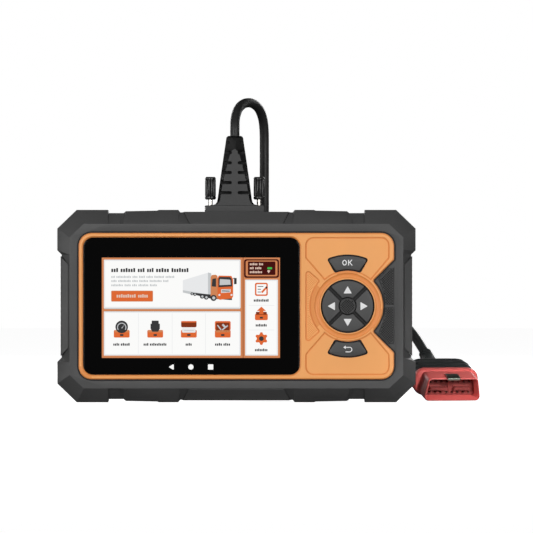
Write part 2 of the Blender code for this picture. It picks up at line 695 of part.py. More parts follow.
def ring_of_revolution(name, section, sides, surface):
    """A closed ring: section lists (radius, height)."""
    mesh = bmesh.new()
    loops = []
    for step in range(sides):
        angle = math.tau * step / sides
        loops.append([mesh.verts.new(((COIL_CENTRE[0] + radius * math.cos(angle)) * MM,
                                      (COIL_CENTRE[1] + radius * math.sin(angle)) * MM, z * MM))
                      for radius, z in section])
    for index in range(sides):
        here, beyond = loops[index], loops[(index + 1) % sides]
        for step in range(len(section)):
            after = (step + 1) % len(section)
            mesh.faces.new([here[step], here[after], beyond[after], beyond[step]])
    bmesh.ops.recalc_face_normals(mesh, faces=mesh.faces)
    data = bpy.data.meshes.new(name)
    mesh.to_mesh(data)
    mesh.free()
    data.materials.append(surface)
    made = bpy.data.objects.new(name, data)
    bpy.context.scene.collection.objects.link(made)


# Vehicle plug, modelled with its mouth at y = 0, x across and z up, then turned into place


SHROUD_LENGTH = 17.5
COLLAR_BACK = 21.5
BACKSHELL_BACK = 47.5
TONGUE_FRONT, PIN_FRONT, INSERT_FRONT = 5.6, 7.2, 9.5


def plug_mouth(grow=0.0):
    """Trapezoid of the vehicle plug, wider at its lower side."""
    corners = [(20.5, -8.3, 3.2), (17.7, 8.3, 3.2), (-17.7, 8.3, 3.2), (-20.5, -8.3, 3.2)]
    return offset(rounded(corners, 4), grow)


def plug_section(half_width, half_height, y, corner=0.75):
    """Rounded section of the vehicle plug's body."""
    radius = corner * half_height
    outline = rounded([(half_width, -half_height, radius), (half_width, half_height, radius),
                       (-half_width, half_height, radius), (-half_width, -half_height, radius)], 4)
    return [(x, y, z) for x, z in outline]


def contact_places():
    return [(-15.0 + 4.0 * column + 1.0, row) for row in (4.0, -4.2) for column in range(8)]


def vehicle_plug(colours):
    frame = bpy.data.objects.new("vehicle_plug_frame", None)
    bpy.context.scene.collection.objects.link(frame)
    frame.location = [value * MM for value in MOUTH]
    frame.rotation_euler = (math.radians(MOUTH_PITCH), 0.0, math.radians(MOUTH_YAW))

    shroud = prism("obd_shroud", plug_mouth(), 0.0, SHROUD_LENGTH + 0.5, colours["red"])
    fuse(shroud, loft("collar", [plug_section(22.2, 8.9, SHROUD_LENGTH - 0.5),
                                 plug_section(22.9, 9.5, SHROUD_LENGTH + 0.6),
                                 plug_section(22.9, 9.5, COLLAR_BACK)]))
    carve(shroud, prism("cutter", plug_mouth(-1.7), -1.0, SHROUD_LENGTH))

    insert = prism("obd_insert", plug_mouth(-2.1), INSERT_FRONT, 15.8, colours["red"])
    fuse(insert, *[box("tongue", (side * 8.5 - 5.8, TONGUE_FRONT, -2.0),
                       (side * 8.5 + 5.8, INSERT_FRONT + 1.0, -0.4)) for side in (-1, 1)])
    contacts = prism("obd_contacts", plug_mouth(-2.2), 16.2, 17.1, colours["steel"])
    for x, z in contact_places():
        carve(insert, box("cutter", (x - 1.1, INSERT_FRONT - 1.0, z - 0.7), (x + 1.1, 18.0, z + 0.7)))
        fuse(contacts, box("pin", (x - 0.75, PIN_FRONT, z - 0.35), (x + 0.75, 16.6, z + 0.35)))

    box("obd_latch_tab", (-4.9, 0.6, 8.6), (4.9, 12.0, 9.3), colours["steel"])
    sections = [(21.4, 9.1, 21.8), (22.2, 9.5, 30.0), (22.0, 9.5, 38.0), (20.4, 9.2, 43.0),
                (15.0, 8.4, 46.5), (11.0, 7.4, BACKSHELL_BACK)]
    loft("obd_backshell", [plug_section(*section) for section in sections], colours["black"])
    sleeve("obd_strain_relief", RELIEF_ROUTE, RELIEF_RADII, colours["rubber"])
    for name in ("obd_shroud", "obd_insert", "obd_contacts", "obd_latch_tab", "obd_backshell"):
        bpy.data.objects[name].parent = frame


def main():
    clear_scene()
    colours = make_materials()
    front_housing(colours)
    rear_housing(colours)
    case_inserts(colours)
    front_bezel(colours)
    bezel_gasket(colours)
    screen(colours)
    keys(colours)
    dpad_spider(colours)
    keypad(colours)
    electronics(colours)
    case_screws(colours)
    connector(colours)
    plug_hood(colours)
    cable(colours)
    vehicle_plug(colours)
    for made in bpy.data.objects:
        if made.type == "MESH":
            smooth(made)


main()
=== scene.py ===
"""Looks of the vehicle code reader: materials, finer meshes, lights and camera.

Helpers take millimetres in the frame's axes and store metres.
"""

import math

import bmesh
import bpy
from mathutils import Euler, Matrix, Vector
from mathutils.geometry import interpolate_bezier


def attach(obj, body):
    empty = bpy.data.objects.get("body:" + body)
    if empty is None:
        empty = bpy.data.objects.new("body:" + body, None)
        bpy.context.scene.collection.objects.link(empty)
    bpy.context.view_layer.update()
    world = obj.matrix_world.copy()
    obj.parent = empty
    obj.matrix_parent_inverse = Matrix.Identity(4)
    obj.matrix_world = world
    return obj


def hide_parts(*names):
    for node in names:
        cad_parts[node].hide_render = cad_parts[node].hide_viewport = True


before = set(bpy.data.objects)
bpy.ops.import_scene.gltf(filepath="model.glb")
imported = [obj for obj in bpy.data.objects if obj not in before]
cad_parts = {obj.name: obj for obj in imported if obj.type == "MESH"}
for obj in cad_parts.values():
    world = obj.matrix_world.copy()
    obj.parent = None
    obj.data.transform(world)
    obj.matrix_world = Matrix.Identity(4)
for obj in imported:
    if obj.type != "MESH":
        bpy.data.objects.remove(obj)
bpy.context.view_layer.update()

MM = 0.001
MIDDLE = 65.9  # height of the tablet's middle
SIDES = (("left", -1), ("right", 1))
THROUGH = -60, 0  # depths of a cut right through the face

# Places, most of which part.py has too
PAD = (76.1, MIDDLE)
PAD_RADIUS, HUB_RADIUS, ARM_HALF_WIDTH = 17.5, 5.6, 1.05
BEZEL_HALF_WIDTH, BEZEL_HALF_HEIGHT, BEZEL_BACK = 107.9, 50.1, -17.2
WAIST_RADIUS = 24.4
KEY_FRONT, KEY_BACK = -20.7, -16.1
LEGEND = KEY_FRONT - 0.05, KEY_FRONT + 0.3  # depths of the mark on a key
KEY_MARGIN = 0.9  # gap round the sector keys
PAD_HOLE = 18.4
GLASS = (-104.6, 43.2, MIDDLE - 46.75, MIDDLE + 46.75)
GLASS_CORNER = 6.6
GLASS_FRONT = -19.5
PLUG_X, POST_OFFSET = -1.2, 16.65
CABLE = 6.5
COIL_CENTRE, COIL_RADIUS = (40.0, 80.0), 36.0
MOUTH, MOUTH_YAW, MOUTH_PITCH = (149.0, 16.0, 8.2), 15.0, 16.5

LEAD_ROUTE = [
    (-1.1, 0.0, 182.3), (-1.1, 0.4, 188.0), (-0.8, 3.2, 195.0), (1.2, 9.4, 201.4),
    (5.2, 17.2, 205.2), (10.2, 25.2, 205.7), (14.8, 32.8, 202.6), (17.7, 38.6, 196.4),
    (18.9, 42.0, 188.0), (19.1, 43.6, 176.0), (19.1, 43.9, 155.0), (19.1, 43.9, 130.0),
    (19.1, 43.9, 105.0), (19.1, 43.9, 80.0), (19.2, 43.8, 60.0), (20.0, 43.6, 45.0),
    (23.4, 43.4, 31.6), (31.0, 43.5, 21.8), (41.0, 44.0, 17.6), (49.0, 45.2, 17.25),
]
TAIL_ROUTE = [
    (75.9, 76.0, 17.25), (76.2, 81.0, 17.9), (77.8, 86.8, 21.2), (80.6, 93.2, 28.0),
    (84.8, 98.4, 36.2), (90.6, 102.2, 43.8), (97.4, 104.4, 49.8), (105.0, 104.2, 53.2),
    (112.6, 101.2, 53.4), (118.8, 96.6, 50.3), (123.6, 91.2, 44.9), (127.4, 85.9, 39.1),
    (130.75, 80.45, 33.45),
]
RELIEF_ROUTE = [  # the sleeve that bends up from the vehicle plug
    (137.1, 60.5, 21.85), (135.6, 66.0, 23.55), (134.2, 71.2, 25.6), (133.0, 76.0, 28.6),
    (131.0, 80.0, 32.9),
]


# Materials


class Surface:
    """A Principled material being put together, node by node."""

    def __init__(self, name, colour, roughness, metallic=0.0, specular=0.5):
        self.made = bpy.data.materials.new(name)
        self.made.use_nodes = True
        self.tree = self.made.node_tree
        self.shader = self.tree.nodes["Principled BSDF"]
        self.shader.inputs["Base Color"].default_value = (*colour, 1.0)
        self.shader.inputs["Roughness"].default_value = roughness
        self.shader.inputs["Metallic"].default_value = metallic
        self.shader.inputs["Specular IOR Level"].default_value = specular
        self.colour, self.roughness = colour, roughness
        self.place = self.node("ShaderNodeTexCoord").outputs["Object"]

    def node(self, kind, **values):
        made = self.tree.nodes.new(kind)
        for name, value in values.items():
            setattr(made, name, value)
        return made

    def link(self, source, target):
        self.tree.links.new(source, target)

    def noise(self, scale, detail=4.0, place=None):
        made = self.node("ShaderNodeTexNoise")
        made.inputs["Scale"].default_value = scale
        made.inputs["Detail"].default_value = detail
        self.link(place or self.place, made.inputs["Vector"])
        return made.outputs["Fac"]

    def ranged(self, source, low, high):
        """The middle of a noise's range, stretched to between low and high."""
        made = self.node("ShaderNodeMapRange")
        for name, value in (("From Min", 0.3), ("From Max", 0.7), ("To Min", low), ("To Max", high)):
            made.inputs[name].default_value = value
        self.link(source, made.inputs["Value"])
        return made.outputs["Result"]

    def mottle(self, amount, scale=35.0):
        """Slight colour variation over tens of millimetres."""
        mix = self.node("ShaderNodeMix", data_type="RGBA")
        self.link(self.ranged(self.noise(scale), 0.0, 1.0), mix.inputs["Factor"])
        for socket, share in (("A", 1 - amount), ("B", 1 + amount)):
            mix.inputs[socket].default_value = (*[min(1.0, part * share) for part in self.colour], 1.0)
        self.link(mix.outputs["Result"], self.shader.inputs["Base Color"])
        return self

    def uneven_gloss(self, amount, scale=90.0):
        low, high = self.roughness * (1 - amount), min(1.0, self.roughness * (1 + amount))
        self.link(self.ranged(self.noise(scale), low, high), self.shader.inputs["Roughness"])
        return self

    def bump(self, source, distance, strength=1.0):
        made = self.node("ShaderNodeBump")
        made.inputs["Distance"].default_value = distance * MM
        made.inputs["Strength"].default_value = strength
        self.link(source, made.inputs["Height"])
        self.link(made.outputs["Normal"], self.shader.inputs["Normal"])
        return self

    def grain(self, scale, distance, strength):
        return self.bump(self.noise(scale, 2.0), distance, strength)

    def scratches(self, scale, stretch, distance):
        """Fine lines along one axis, as on brushed metal."""
        mapping = self.node("ShaderNodeMapping")
        mapping.inputs["Scale"].default_value = stretch
        self.link(self.place, mapping.inputs["Vector"])
        return self.bump(self.noise(scale, 2.0, mapping.outputs["Vector"]), distance)


def moulded(name, colour, roughness, specular, grain, variation=0.06):
    """Moulded plastic with a fine spark-eroded texture, its grain's depth in mm."""
    return (Surface(name, colour, roughness, specular=specular).mottle(variation)
            .uneven_gloss(0.12).grain(1600.0, grain, 0.5).made)


def glowing(name, colour):
    """Part of the lit display, under a glossy front."""
    made = Surface(name, (0.0, 0.0, 0.0), 0.08, specular=0.3)
    made.shader.inputs["Emission Color"].default_value = (*colour, 1.0)
    made.shader.inputs["Emission Strength"].default_value = 1.0
    return made.made


def metal(name, colour, roughness):
    return (Surface(name, colour, roughness, 1.0).uneven_gloss(0.25, 250.0)
            .scratches(900.0, (1.0, 1.0, 12.0), 0.01).made)


def grey(value):
    return (value, value, value)


PLASTICS = {  # colour, roughness, specular, grain, and how far the colour varies
    "case": (grey(0.06), 0.5, 0.5, 0.06),
    "side": (grey(0.085), 0.45, 0.5, 0.05),
    "pad": (grey(0.055), 0.6, 0.3, 0.02),
    # near black: painted shade on the texture of the pads and the hub
    "pad_painted_shade": (grey(0.003), 0.6, 0.2, 0.02),
    "key": (grey(0.062), 0.5, 0.5, 0.03),
    "orange": ((0.83, 0.3, 0.08), 0.42, 0.4, 0.02, 0.03),
    # lighter copy of the bezel orange: painted highlight on its fields and on the lip round the pad
    "orange_painted_highlight": ((0.95, 0.42, 0.135), 0.45, 0.4, 0.02, 0.03),
    # darker copy of the bezel orange: painted shade in its grooves and texture
    "orange_painted_shade": ((0.8, 0.28, 0.07), 0.5, 0.3, 0.02, 0.03),
    "black": (grey(0.006), 0.5, 0.4, 0.03),
    "hood": (grey(0.034), 0.5, 0.5, 0.05),
    # near black: painted shade on the hood's side faces and in its slots
    "hood_painted_shade": (grey(0.0025), 0.4, 0.25, 0.03),
    "knob": (grey(0.008), 0.35, 0.5, 0.02),
    "shell": ((0.018, 0.02, 0.02), 0.5, 0.22, 0.03),
    "cable": (grey(0.013), 0.5, 0.38, 0.02),
    "red": ((0.66, 0.11, 0.1), 0.42, 0.5, 0.03),
    "red_dark": ((0.25, 0.045, 0.04), 0.5, 0.4, 0.03),
    "white": (grey(0.85), 0.5, 0.3, 0.01, 0.01),
}
DISPLAY_COLOURS = {
    "white": (0.96, 0.96, 0.95),
    "orange": (0.62, 0.23, 0.095),
    "button": (0.72, 0.14, 0.035),
    "dark": (0.04, 0.04, 0.042),
    "grey": (0.55, 0.57, 0.58),
    "pale": (0.8, 0.81, 0.82),
    "maroon": (0.06, 0.006, 0.005),
    "brown": (0.22, 0.035, 0.01),
    "cream": (0.75, 0.55, 0.45),
    "green": (0.05, 0.5, 0.08),
}


MATERIALS = {
    "glass": Surface("glass", grey(0.002), 0.04, specular=0.3)
    .uneven_gloss(0.3, 30.0).grain(12.0, 0.002, 0.3).made,
    "board": Surface("board", (0.006, 0.07, 0.025), 0.35).mottle(0.3, 160.0).made,
    "steel": metal("steel", grey(0.55), 0.3),
    "tab": metal("tab", (0.22, 0.24, 0.2), 0.35),
    "nickel": metal("nickel", (0.5, 0.48, 0.45), 0.22),
    **{name: moulded(name, *values) for name, values in PLASTICS.items()},
    **{"lit_" + name: glowing("lit_" + name, colour) for name, colour in DISPLAY_COLOURS.items()},
}


# Outlines in the x-z plane


def rounded(corners, steps=6):
    """An outline whose corners (x, z, radius) are rounded by arcs; one without a radius is sharp."""
    points = []
    for index, (x, z, *radius) in enumerate(corners):
        here = Vector((x, z))
        if not radius:
            points.append((x, z))
            continue
        radius = radius[0]
        before = (Vector(corners[index - 1][:2]) - here).normalized()
        after = (Vector(corners[(index + 1) % len(corners)][:2]) - here).normalized()
        half = before.angle(after) / 2
        middle = here + (before + after).normalized() * (radius / math.sin(half))
        start = here + before * (radius / math.tan(half)) - middle
        turn = start.angle_signed(here + after * (radius / math.tan(half)) - middle)
        for step in range(steps + 1):
            points.append(tuple(middle + Matrix.Rotation(-turn * step / steps, 2) @ start))
    return points


def rounded_box(left, right, low, high, radius, steps=6):
    return rounded([(right, low, radius), (right, high, radius), (left, high, radius),
                    (left, low, radius)], steps)


def circle(x, z, radius, sides=48):
    angles = [math.tau * step / sides for step in range(sides)]
    return [(x + radius * math.cos(angle), z + radius * math.sin(angle)) for angle in angles]


def arc(radius, first, last, steps, middle=PAD):
    """Points on an arc, angles in degrees."""
    angles = [math.radians(first + (last - first) * step / steps) for step in range(steps + 1)]
    return [(middle[0] + radius * math.cos(angle), middle[1] + radius * math.sin(angle))
            for angle in angles]


def offset(outline, distance):
    """The outline moved outwards by a distance, corners kept sharp."""
    moved = []
    for index, point in enumerate(outline):
        here = Vector(point)
        before = (here - Vector(outline[index - 1])).normalized()
        after = (Vector(outline[(index + 1) % len(outline)]) - here).normalized()
        first, second = Vector((before.y, -before.x)), Vector((after.y, -after.x))
        moved.append(tuple(here + (first + second) * (distance / (1 + first.dot(second)))))
    return moved


def flipped(outline):
    """The outline mirrored about the tablet's middle height, still anticlockwise."""
    return [(x, 2 * MIDDLE - z) for x, z in reversed(outline)]


def inside(outline, x, z):
    """Whether a point is within an outline."""
    found = False
    for index, (x1, z1) in enumerate(outline):
        x0, z0 = outline[index - 1]
        if (z0 > z) != (z1 > z) and x < (x1 - x0) * (z - z0) / (z1 - z0) + x0:
            found = not found
    return found


def bezel_outline():
    """Rounded rectangle, waisted round the pad between 45 degree flanks."""
    right, reach, corner = BEZEL_HALF_WIDTH, BEZEL_HALF_WIDTH - PAD[0], 8.9
    low, high = MIDDLE - BEZEL_HALF_HEIGHT, MIDDLE + BEZEL_HALF_HEIGHT
    waist = arc(WAIST_RADIUS, -45, 45, 20)
    waist[0], waist[-1] = (*waist[0], 1.6), (*waist[-1], 1.6)
    return rounded([
        (right, low, corner), (right, MIDDLE - reach, 1.2), *waist, (right, MIDDLE + reach, 1.2),
        (right, high, corner), (-right, high, corner), (-right, low, corner),
    ], 8)


def zone_outline():
    """Sunk field of the bezel round the upper sector key, in to the ring about the pad."""
    left, right, low, high = 47.1, 104.7, 98.7, 113.1
    return rounded([(right, high, 5.5), (left, high, 5.5), (left, low, 2.0), *arc(23.6, 132, 48, 16),
                    (right, low, 2.0)], 5)


def side_zone_outline():
    """Textured field of the bezel between the glass and the pad."""
    ring = arc(25.4, 223, 137, 14)
    ring[0], ring[-1] = (*ring[0], 1.5), (*ring[-1], 1.5)
    return rounded([(47.2, MIDDLE + 26.5, 2.0), (47.2, MIDDLE - 26.5, 2.0), *ring], 4)


def ring_block(toward, inner, outer, steps, soft):
    """Block between two arcs about the pad, its corners softened; inner and outer are (radius, reach)."""
    points = arc(inner[0], toward + inner[1], toward - inner[1], steps)
    points += arc(outer[0], toward - outer[1], toward + outer[1], steps)
    for corner in (0, steps, steps + 1, -1):
        points[corner] = (*points[corner], soft)
    return rounded(points, 4)


def petal(toward):
    """Quarter of the round pad between two arms of the cross."""
    arm = ARM_HALF_WIDTH + 0.1
    ends = [(radius, 45 - math.degrees(math.asin(arm / radius)))
            for radius in (HUB_RADIUS + 0.5, PAD_RADIUS)]
    return ring_block(toward, *ends, 12, 0.6)


def sector(toward, grow=0.0):
    """Sector key above or below the pad."""
    ends = [(radius, math.degrees(math.asin((half + grow) / radius)))
            for radius, half in ((25.1 - grow, 7.9), (34.4 + grow, 13.4))]
    return ring_block(toward, *ends, 14, 1.5)


def pad_outline():
    """Dark pad on the case, right of the waist, above the middle."""
    right, low, high = 107.6, MIDDLE + 1.0, MIDDLE + 25.7
    return rounded([(right, low, 0.8), (right, high, 1.8), (104.0, high, 1.8),
                    *arc(41.0, 27, 1.4, 12, (60.7, MIDDLE))], 4)


# Meshes


def put(name, data):
    """A new object in the scene."""
    made = bpy.data.objects.new(name, data)
    bpy.context.scene.collection.objects.link(made)
    return made


def link_mesh(name, mesh):
    bmesh.ops.remove_doubles(mesh, verts=mesh.verts, dist=1e-7)
    bmesh.ops.recalc_face_normals(mesh, faces=mesh.faces)
    data = bpy.data.meshes.new(name)
    mesh.to_mesh(data)
    mesh.free()
    return put(name, data)


def add_loft(mesh, rings, closed=False):
    """Quads through rings of points, capped unless the rings meet in a loop."""
    loops = [[mesh.verts.new([value * MM for value in point]) for point in ring] for ring in rings]
    pairs = list(zip(loops, loops[1:] + ([loops[0]] if closed else [])))
    for lower, upper in pairs:
        for index in range(len(lower)):
            after = (index + 1) % len(lower)
            mesh.faces.new([lower[index], lower[after], upper[after], upper[index]])
    if not closed:
        mesh.faces.new(loops[0])
        mesh.faces.new(loops[-1])


def loft(name, rings, closed=False):
    mesh = bmesh.new()
    add_loft(mesh, rings, closed)
    return link_mesh(name, mesh)


def at_depth(outline, y):
    return [(x, y, z) for x, z in outline]


def add_prism(mesh, outline, front, back):
    add_loft(mesh, [at_depth(outline, front), at_depth(outline, back)])


def prism(name, outline, front, back):
    mesh = bmesh.new()
    add_prism(mesh, outline, front, back)
    return link_mesh(name, mesh)


def stepped(name, outline, levels):
    """An outline given depth: levels are (y, how far it grows there)."""
    return loft(name, [at_depth(offset(outline, grow), y) for y, grow in levels])


def crowned(name, outline, front, back, edge, steps=4):
    """A prism whose front edge is rounded by a quarter circle."""
    rings = []
    for step in range(steps + 1):
        angle = math.pi / 2 * step / steps
        inset = edge * (1 - math.sin(angle))
        rings.append(at_depth(offset(outline, -inset), front + edge * (1 - math.cos(angle))))
    return loft(name, rings + [at_depth(outline, back)])


def turned(name, profile, sides, axis, middle, closed=False, flute=None):
    """A turned piece: profile lists (radius, place along the axis).

    flute is (count, depth, low, high).
    """
    rings = []
    for radius, along in profile:
        ring = []
        for step in range(sides):
            angle = math.tau * step / sides
            here = radius
            if flute and flute[2] <= along <= flute[3]:
                here -= flute[1] * (0.5 - 0.5 * math.cos(angle * flute[0])) ** 2
            across = (middle[0] + here * math.cos(angle), middle[1] + here * math.sin(angle))
            ring.append((*across, along) if axis == "z" else (across[0], along, across[1]))
        rings.append(ring)
    return loft(name, rings, closed)


def box(name, low, high):
    corners = [(low[0], low[2]), (high[0], low[2]), (high[0], high[2]), (low[0], high[2])]
    return prism(name, corners, low[1], high[1])


def combine(target, tools, operation):
    """Boolean modifiers applied at once, and their tools removed."""
    for tool in tools:
        modifier = target.modifiers.new("Combine", "BOOLEAN")
        modifier.operation = operation
        modifier.solver = "EXACT"
        modifier.object = tool
        shaped = target.evaluated_get(bpy.context.evaluated_depsgraph_get())
        data = bpy.data.meshes.new_from_object(shaped)
        target.modifiers.clear()
        target.data = data
        bpy.data.objects.remove(tool, do_unlink=True)
    return target


def carve(target, *tools):
    return combine(target, tools, "DIFFERENCE")


def fuse(target, *tools):
    return combine(target, tools, "UNION")


def bevelled(made, width, segments, angle):
    """Rounds the sharp edges, as moulded pieces have them."""
    modifier = made.modifiers.new("Edges", "BEVEL")
    modifier.width = width * MM
    modifier.segments = segments
    modifier.limit_method = "ANGLE"
    modifier.angle_limit = math.radians(angle)
    modifier.harden_normals = True
    return made


def piece(made, material, body="root", replaces=(), angle=35):
    """Gives a piece its finish, and makes it ride on its body."""
    if made.type == "MESH":
        made.data.materials.clear()
        made.data.materials.append(MATERIALS[material])
        made.data.shade_smooth()
        made.data.set_sharp_from_angle(angle=math.radians(angle))
    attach(made, body)
    if replaces:
        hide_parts(*replaces)
    return made


def lattice(name, outline, front, pitch, cover):
    """Small pyramids in a diagonal lattice, wherever they fit inside an outline."""
    height, sunk = 0.1, 0.02
    mesh = bmesh.new()
    inner = offset(outline, -pitch * 0.4)
    columns = [x for x, _ in outline]
    rows = [z for _, z in outline]
    half, reach = pitch / 2, pitch * cover
    for row in range(int((max(rows) - min(rows)) / half) + 1):
        z = min(rows) + row * half
        for column in range(int((max(columns) - min(columns)) / pitch) + 2):
            x = min(columns) + (column + (row % 2) / 2) * pitch
            if not inside(inner, x, z):
                continue
            base = [(x + reach, z), (x, z + reach), (x - reach, z), (x, z - reach)]
            corners = [mesh.verts.new((a * MM, (front + sunk) * MM, b * MM)) for a, b in base]
            tip = mesh.verts.new((x * MM, (front - height) * MM, z * MM))
            for index in range(4):
                mesh.faces.new([corners[index], corners[(index + 1) % 4], tip])
            mesh.faces.new(list(reversed(corners)))
    return link_mesh(name, mesh)


# Case


def from_node(name):
    """A piece with the CAD node's shape, its flat faces whole, ready for finer work."""
    mesh = bmesh.new()
    mesh.from_mesh(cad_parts[name].data)
    bmesh.ops.remove_doubles(mesh, verts=mesh.verts, dist=1e-6)
    bmesh.ops.dissolve_limit(mesh, angle_limit=math.radians(0.6), verts=mesh.verts, edges=mesh.edges)
    return link_mesh(name + "_look", mesh)


def case():
    """The shells and plates, with the rounded edges of moulded pieces."""
    for name, width in (("front_housing", 0.6), ("rear_housing", 0.6), ("connector_plate", 0.4),
                        ("bottom_plate", 0.4)):
        made = bevelled(from_node(name), width, 3, 22)
        piece(made, "case", replaces=[name], angle=60)


def plate_seals():
    """Rubber that closes the gaps at the ends of the two plates."""
    for place, first, low in (("top", 35.0, 128.5), ("bottom", 35.5, 1.5)):
        for name, side in SIDES:
            ends = sorted((side * first, side * (first + 1.9)))
            made = box(f"{place}_seal_{name}", (ends[0], -9.0, low), (ends[1], 9.0, low + 1.8))
            piece(made, "black")


def side_grips():
    """Inserts on the short sides: the CAD insert's section, with shallow ribs on its outside."""
    start, outer, thickness = (115.3, 18.744), (120.4, 13.407), 1.9
    slope = 1 / math.sqrt(2)
    half = [(-start[1], start[0]), (-outer[1] - 0.9, outer[0] - 1.3), (-outer[1] + 0.2, outer[0] - 0.35),
            (-outer[1] + 1.6, outer[0])]
    inner = [(-start[1] + slope * thickness, start[0] - slope * thickness),
             (-outer[1] + 0.41 * thickness, outer[0] - thickness)]
    section = half + [(-y, out) for y, out in reversed(half)] + [(-y, out) for y, out in inner]
    section += list(reversed(inner))
    levels = 68
    for name, side in SIDES:
        rings = []
        for level in range(levels + 1):
            share = 2 * level / levels - 1
            groove = 0.06 if level % 4 in (0, 1) and 3 < level < levels - 3 else 0.0
            ring = []
            for y, out in section:
                reach = 28.5 + (out - start[0]) * 5.6 / 5.1
                drop = groove if out > outer[0] - 0.1 else 0.0
                ring.append((side * (out - drop), y, MIDDLE + share * reach))
            rings.append(ring)
        made = loft(f"side_grip_{name}_look", rings)
        piece(made, "side", replaces=["side_grip_" + name], angle=50)


def grip_pads():
    upper, front = pad_outline(), -20.1
    for name, outline in (("grip_pad_upper", upper), ("grip_pad_lower", flipped(upper))):
        made = stepped(name + "_look", outline, ((front, -0.3), (front + 0.15, 0.0), (-18.9, 0.0)))
        piece(made, "pad", replaces=[name], angle=20)
        # The texture's pyramids are painted near black, as painted shade.
        texture = lattice(name + "_texture", outline, front, 1.7, 0.42)
        piece(texture, "pad_painted_shade", angle=10)


# Face


def bezel():
    """Frame round the glass and keys; its fields lie lower than the lines between them."""
    made = crowned("bezel_look", bezel_outline(), -20.3, BEZEL_BACK, 1.0, 6)
    glass_hole = rounded_box(*GLASS, GLASS_CORNER, 12)
    field, groove, line = -19.75, -19.5, 1.0
    band = [(19.0, -21.0), (19.2, -20.0), (19.8, -19.5), (20.5, -19.3), (21.3, -19.3), (22.0, -19.5),
            (22.6, -20.0), (22.8, -21.0)]
    cutters = [
        stepped("cutter", glass_hole, ((-21.0, 2.0), (-19.45, 0.25), (-10.0, 0.25))),
        prism("cutter", circle(*PAD, PAD_HOLE, 96), *THROUGH),
        prism("cutter", sector(90, KEY_MARGIN), *THROUGH),
        prism("cutter", sector(-90, KEY_MARGIN), *THROUGH),
        turned("cutter", band, 96, "y", PAD, closed=True),
    ]
    zones = [zone_outline(), flipped(zone_outline()), side_zone_outline()]
    for zone in zones:
        moat = prism("cutter", zone, THROUGH[0], groove)
        cutters.append(carve(moat, prism("island", offset(zone, -line), field, 0)))
    carve(made, *cutters)
    bevelled(made, 0.25, 2, 32)
    piece(made, "orange", replaces=["front_bezel"], angle=28)
    # The darker orange is painted shade, on the groove faces of the lines between the fields and on the
    # field's texture.
    made.data.materials.append(MATERIALS["orange_painted_shade"])
    # The lighter orange is painted highlight, on the flat fields and on the lip round the pad hole.
    made.data.materials.append(MATERIALS["orange_painted_highlight"])
    for face in made.data.polygons:
        x, y, z = face.center / MM
        sunk = -20.2 < y < -19.0
        on_ring = math.dist((x, z), PAD) < 19.1
        in_field = face.normal.y < -0.99 and abs(y - field) < 0.02
        painted_shade_line = sunk and not in_field and any(inside(zone, x, z) for zone in zones)
        # Index 1 is painted shade on the lines, and index 2 is painted highlight on the fields and the lip.
        face.material_index = 1 if painted_shade_line else 2 if in_field or on_ring else 0
    # The texture is painted darker orange, as painted shade.
    texture = lattice("bezel_texture", offset(side_zone_outline(), -line), field, 1.6, 0.33)
    piece(texture, "orange_painted_shade", angle=10)


def key_well_shade():
    """Black sheets in the gaps round the keys, and a dark disc behind the cross: painted shade in the wells.
    """
    gap_shades = {"up": (sector(90, KEY_MARGIN + 0.5), sector(90, 0.3)),
              "down": (sector(-90, KEY_MARGIN + 0.5), sector(-90, 0.3)),
              "pad": (circle(*PAD, PAD_HOLE + 0.5, 96), circle(*PAD, PAD_RADIUS + 0.2, 96))}
    for name, (outer, inner) in gap_shades.items():
        made = prism(f"key_gap_shade_{name}", outer, -18.9, -17.3)
        carve(made, prism("cutter", inner, *THROUGH))
        piece(made, "black")
    # A black disc behind the cross, as painted shade.
    floor = prism("key_floor_shade", circle(*PAD, PAD_RADIUS + 0.1, 64), -15.2, -15.0)
    piece(floor, "black")


def gasket():
    """Black line between the bezel and the case."""
    made = prism("gasket_look", offset(bezel_outline(), 0.95), -19.75, BEZEL_BACK)
    carve(made, prism("cutter", offset(bezel_outline(), 0.05), *THROUGH))
    piece(made, "black", replaces=["bezel_gasket"])


def cover_glass():
    made = crowned("glass_look", rounded_box(*GLASS, GLASS_CORNER, 12), GLASS_FRONT, -18.4, 0.35)
    piece(made, "glass", replaces=["cover_glass"])


def arrow_keys():
    for name, toward in (("right", 0), ("up", 90), ("left", 180), ("down", 270)):
        made = crowned(f"key_{name}_look", petal(toward), KEY_FRONT, KEY_BACK, 0.55)
        piece(made, "key", f"key_{name}_body", [f"key_{name}"])
        ahead = Vector((math.cos(math.radians(toward)), math.sin(math.radians(toward))))
        foot, tip = Vector(PAD) + ahead * 8.7, Vector(PAD) + ahead * 13.7
        aside = Vector((-ahead.y, ahead.x)) * 2.85
        outline = rounded([(*corner, 0.25) for corner in (foot - aside, tip, foot + aside)], 3)
        piece(prism(f"key_{name}_arrow", outline, *LEGEND), "white", f"key_{name}_body")


def ribbon(points, width):
    """Outline of a line of even width through points."""
    sides = ([], [])
    for index, point in enumerate(points):
        here = Vector(point)
        before = here - Vector(points[max(index - 1, 0)])
        after = Vector(points[min(index + 1, len(points) - 1)]) - here
        along = (before.normalized() + after.normalized()).normalized()
        across = Vector((along.y, -along.x)) * width / 2
        sides[0].append(tuple(here + across))
        sides[1].append(tuple(here - across))
    return sides[0] + sides[1][::-1]


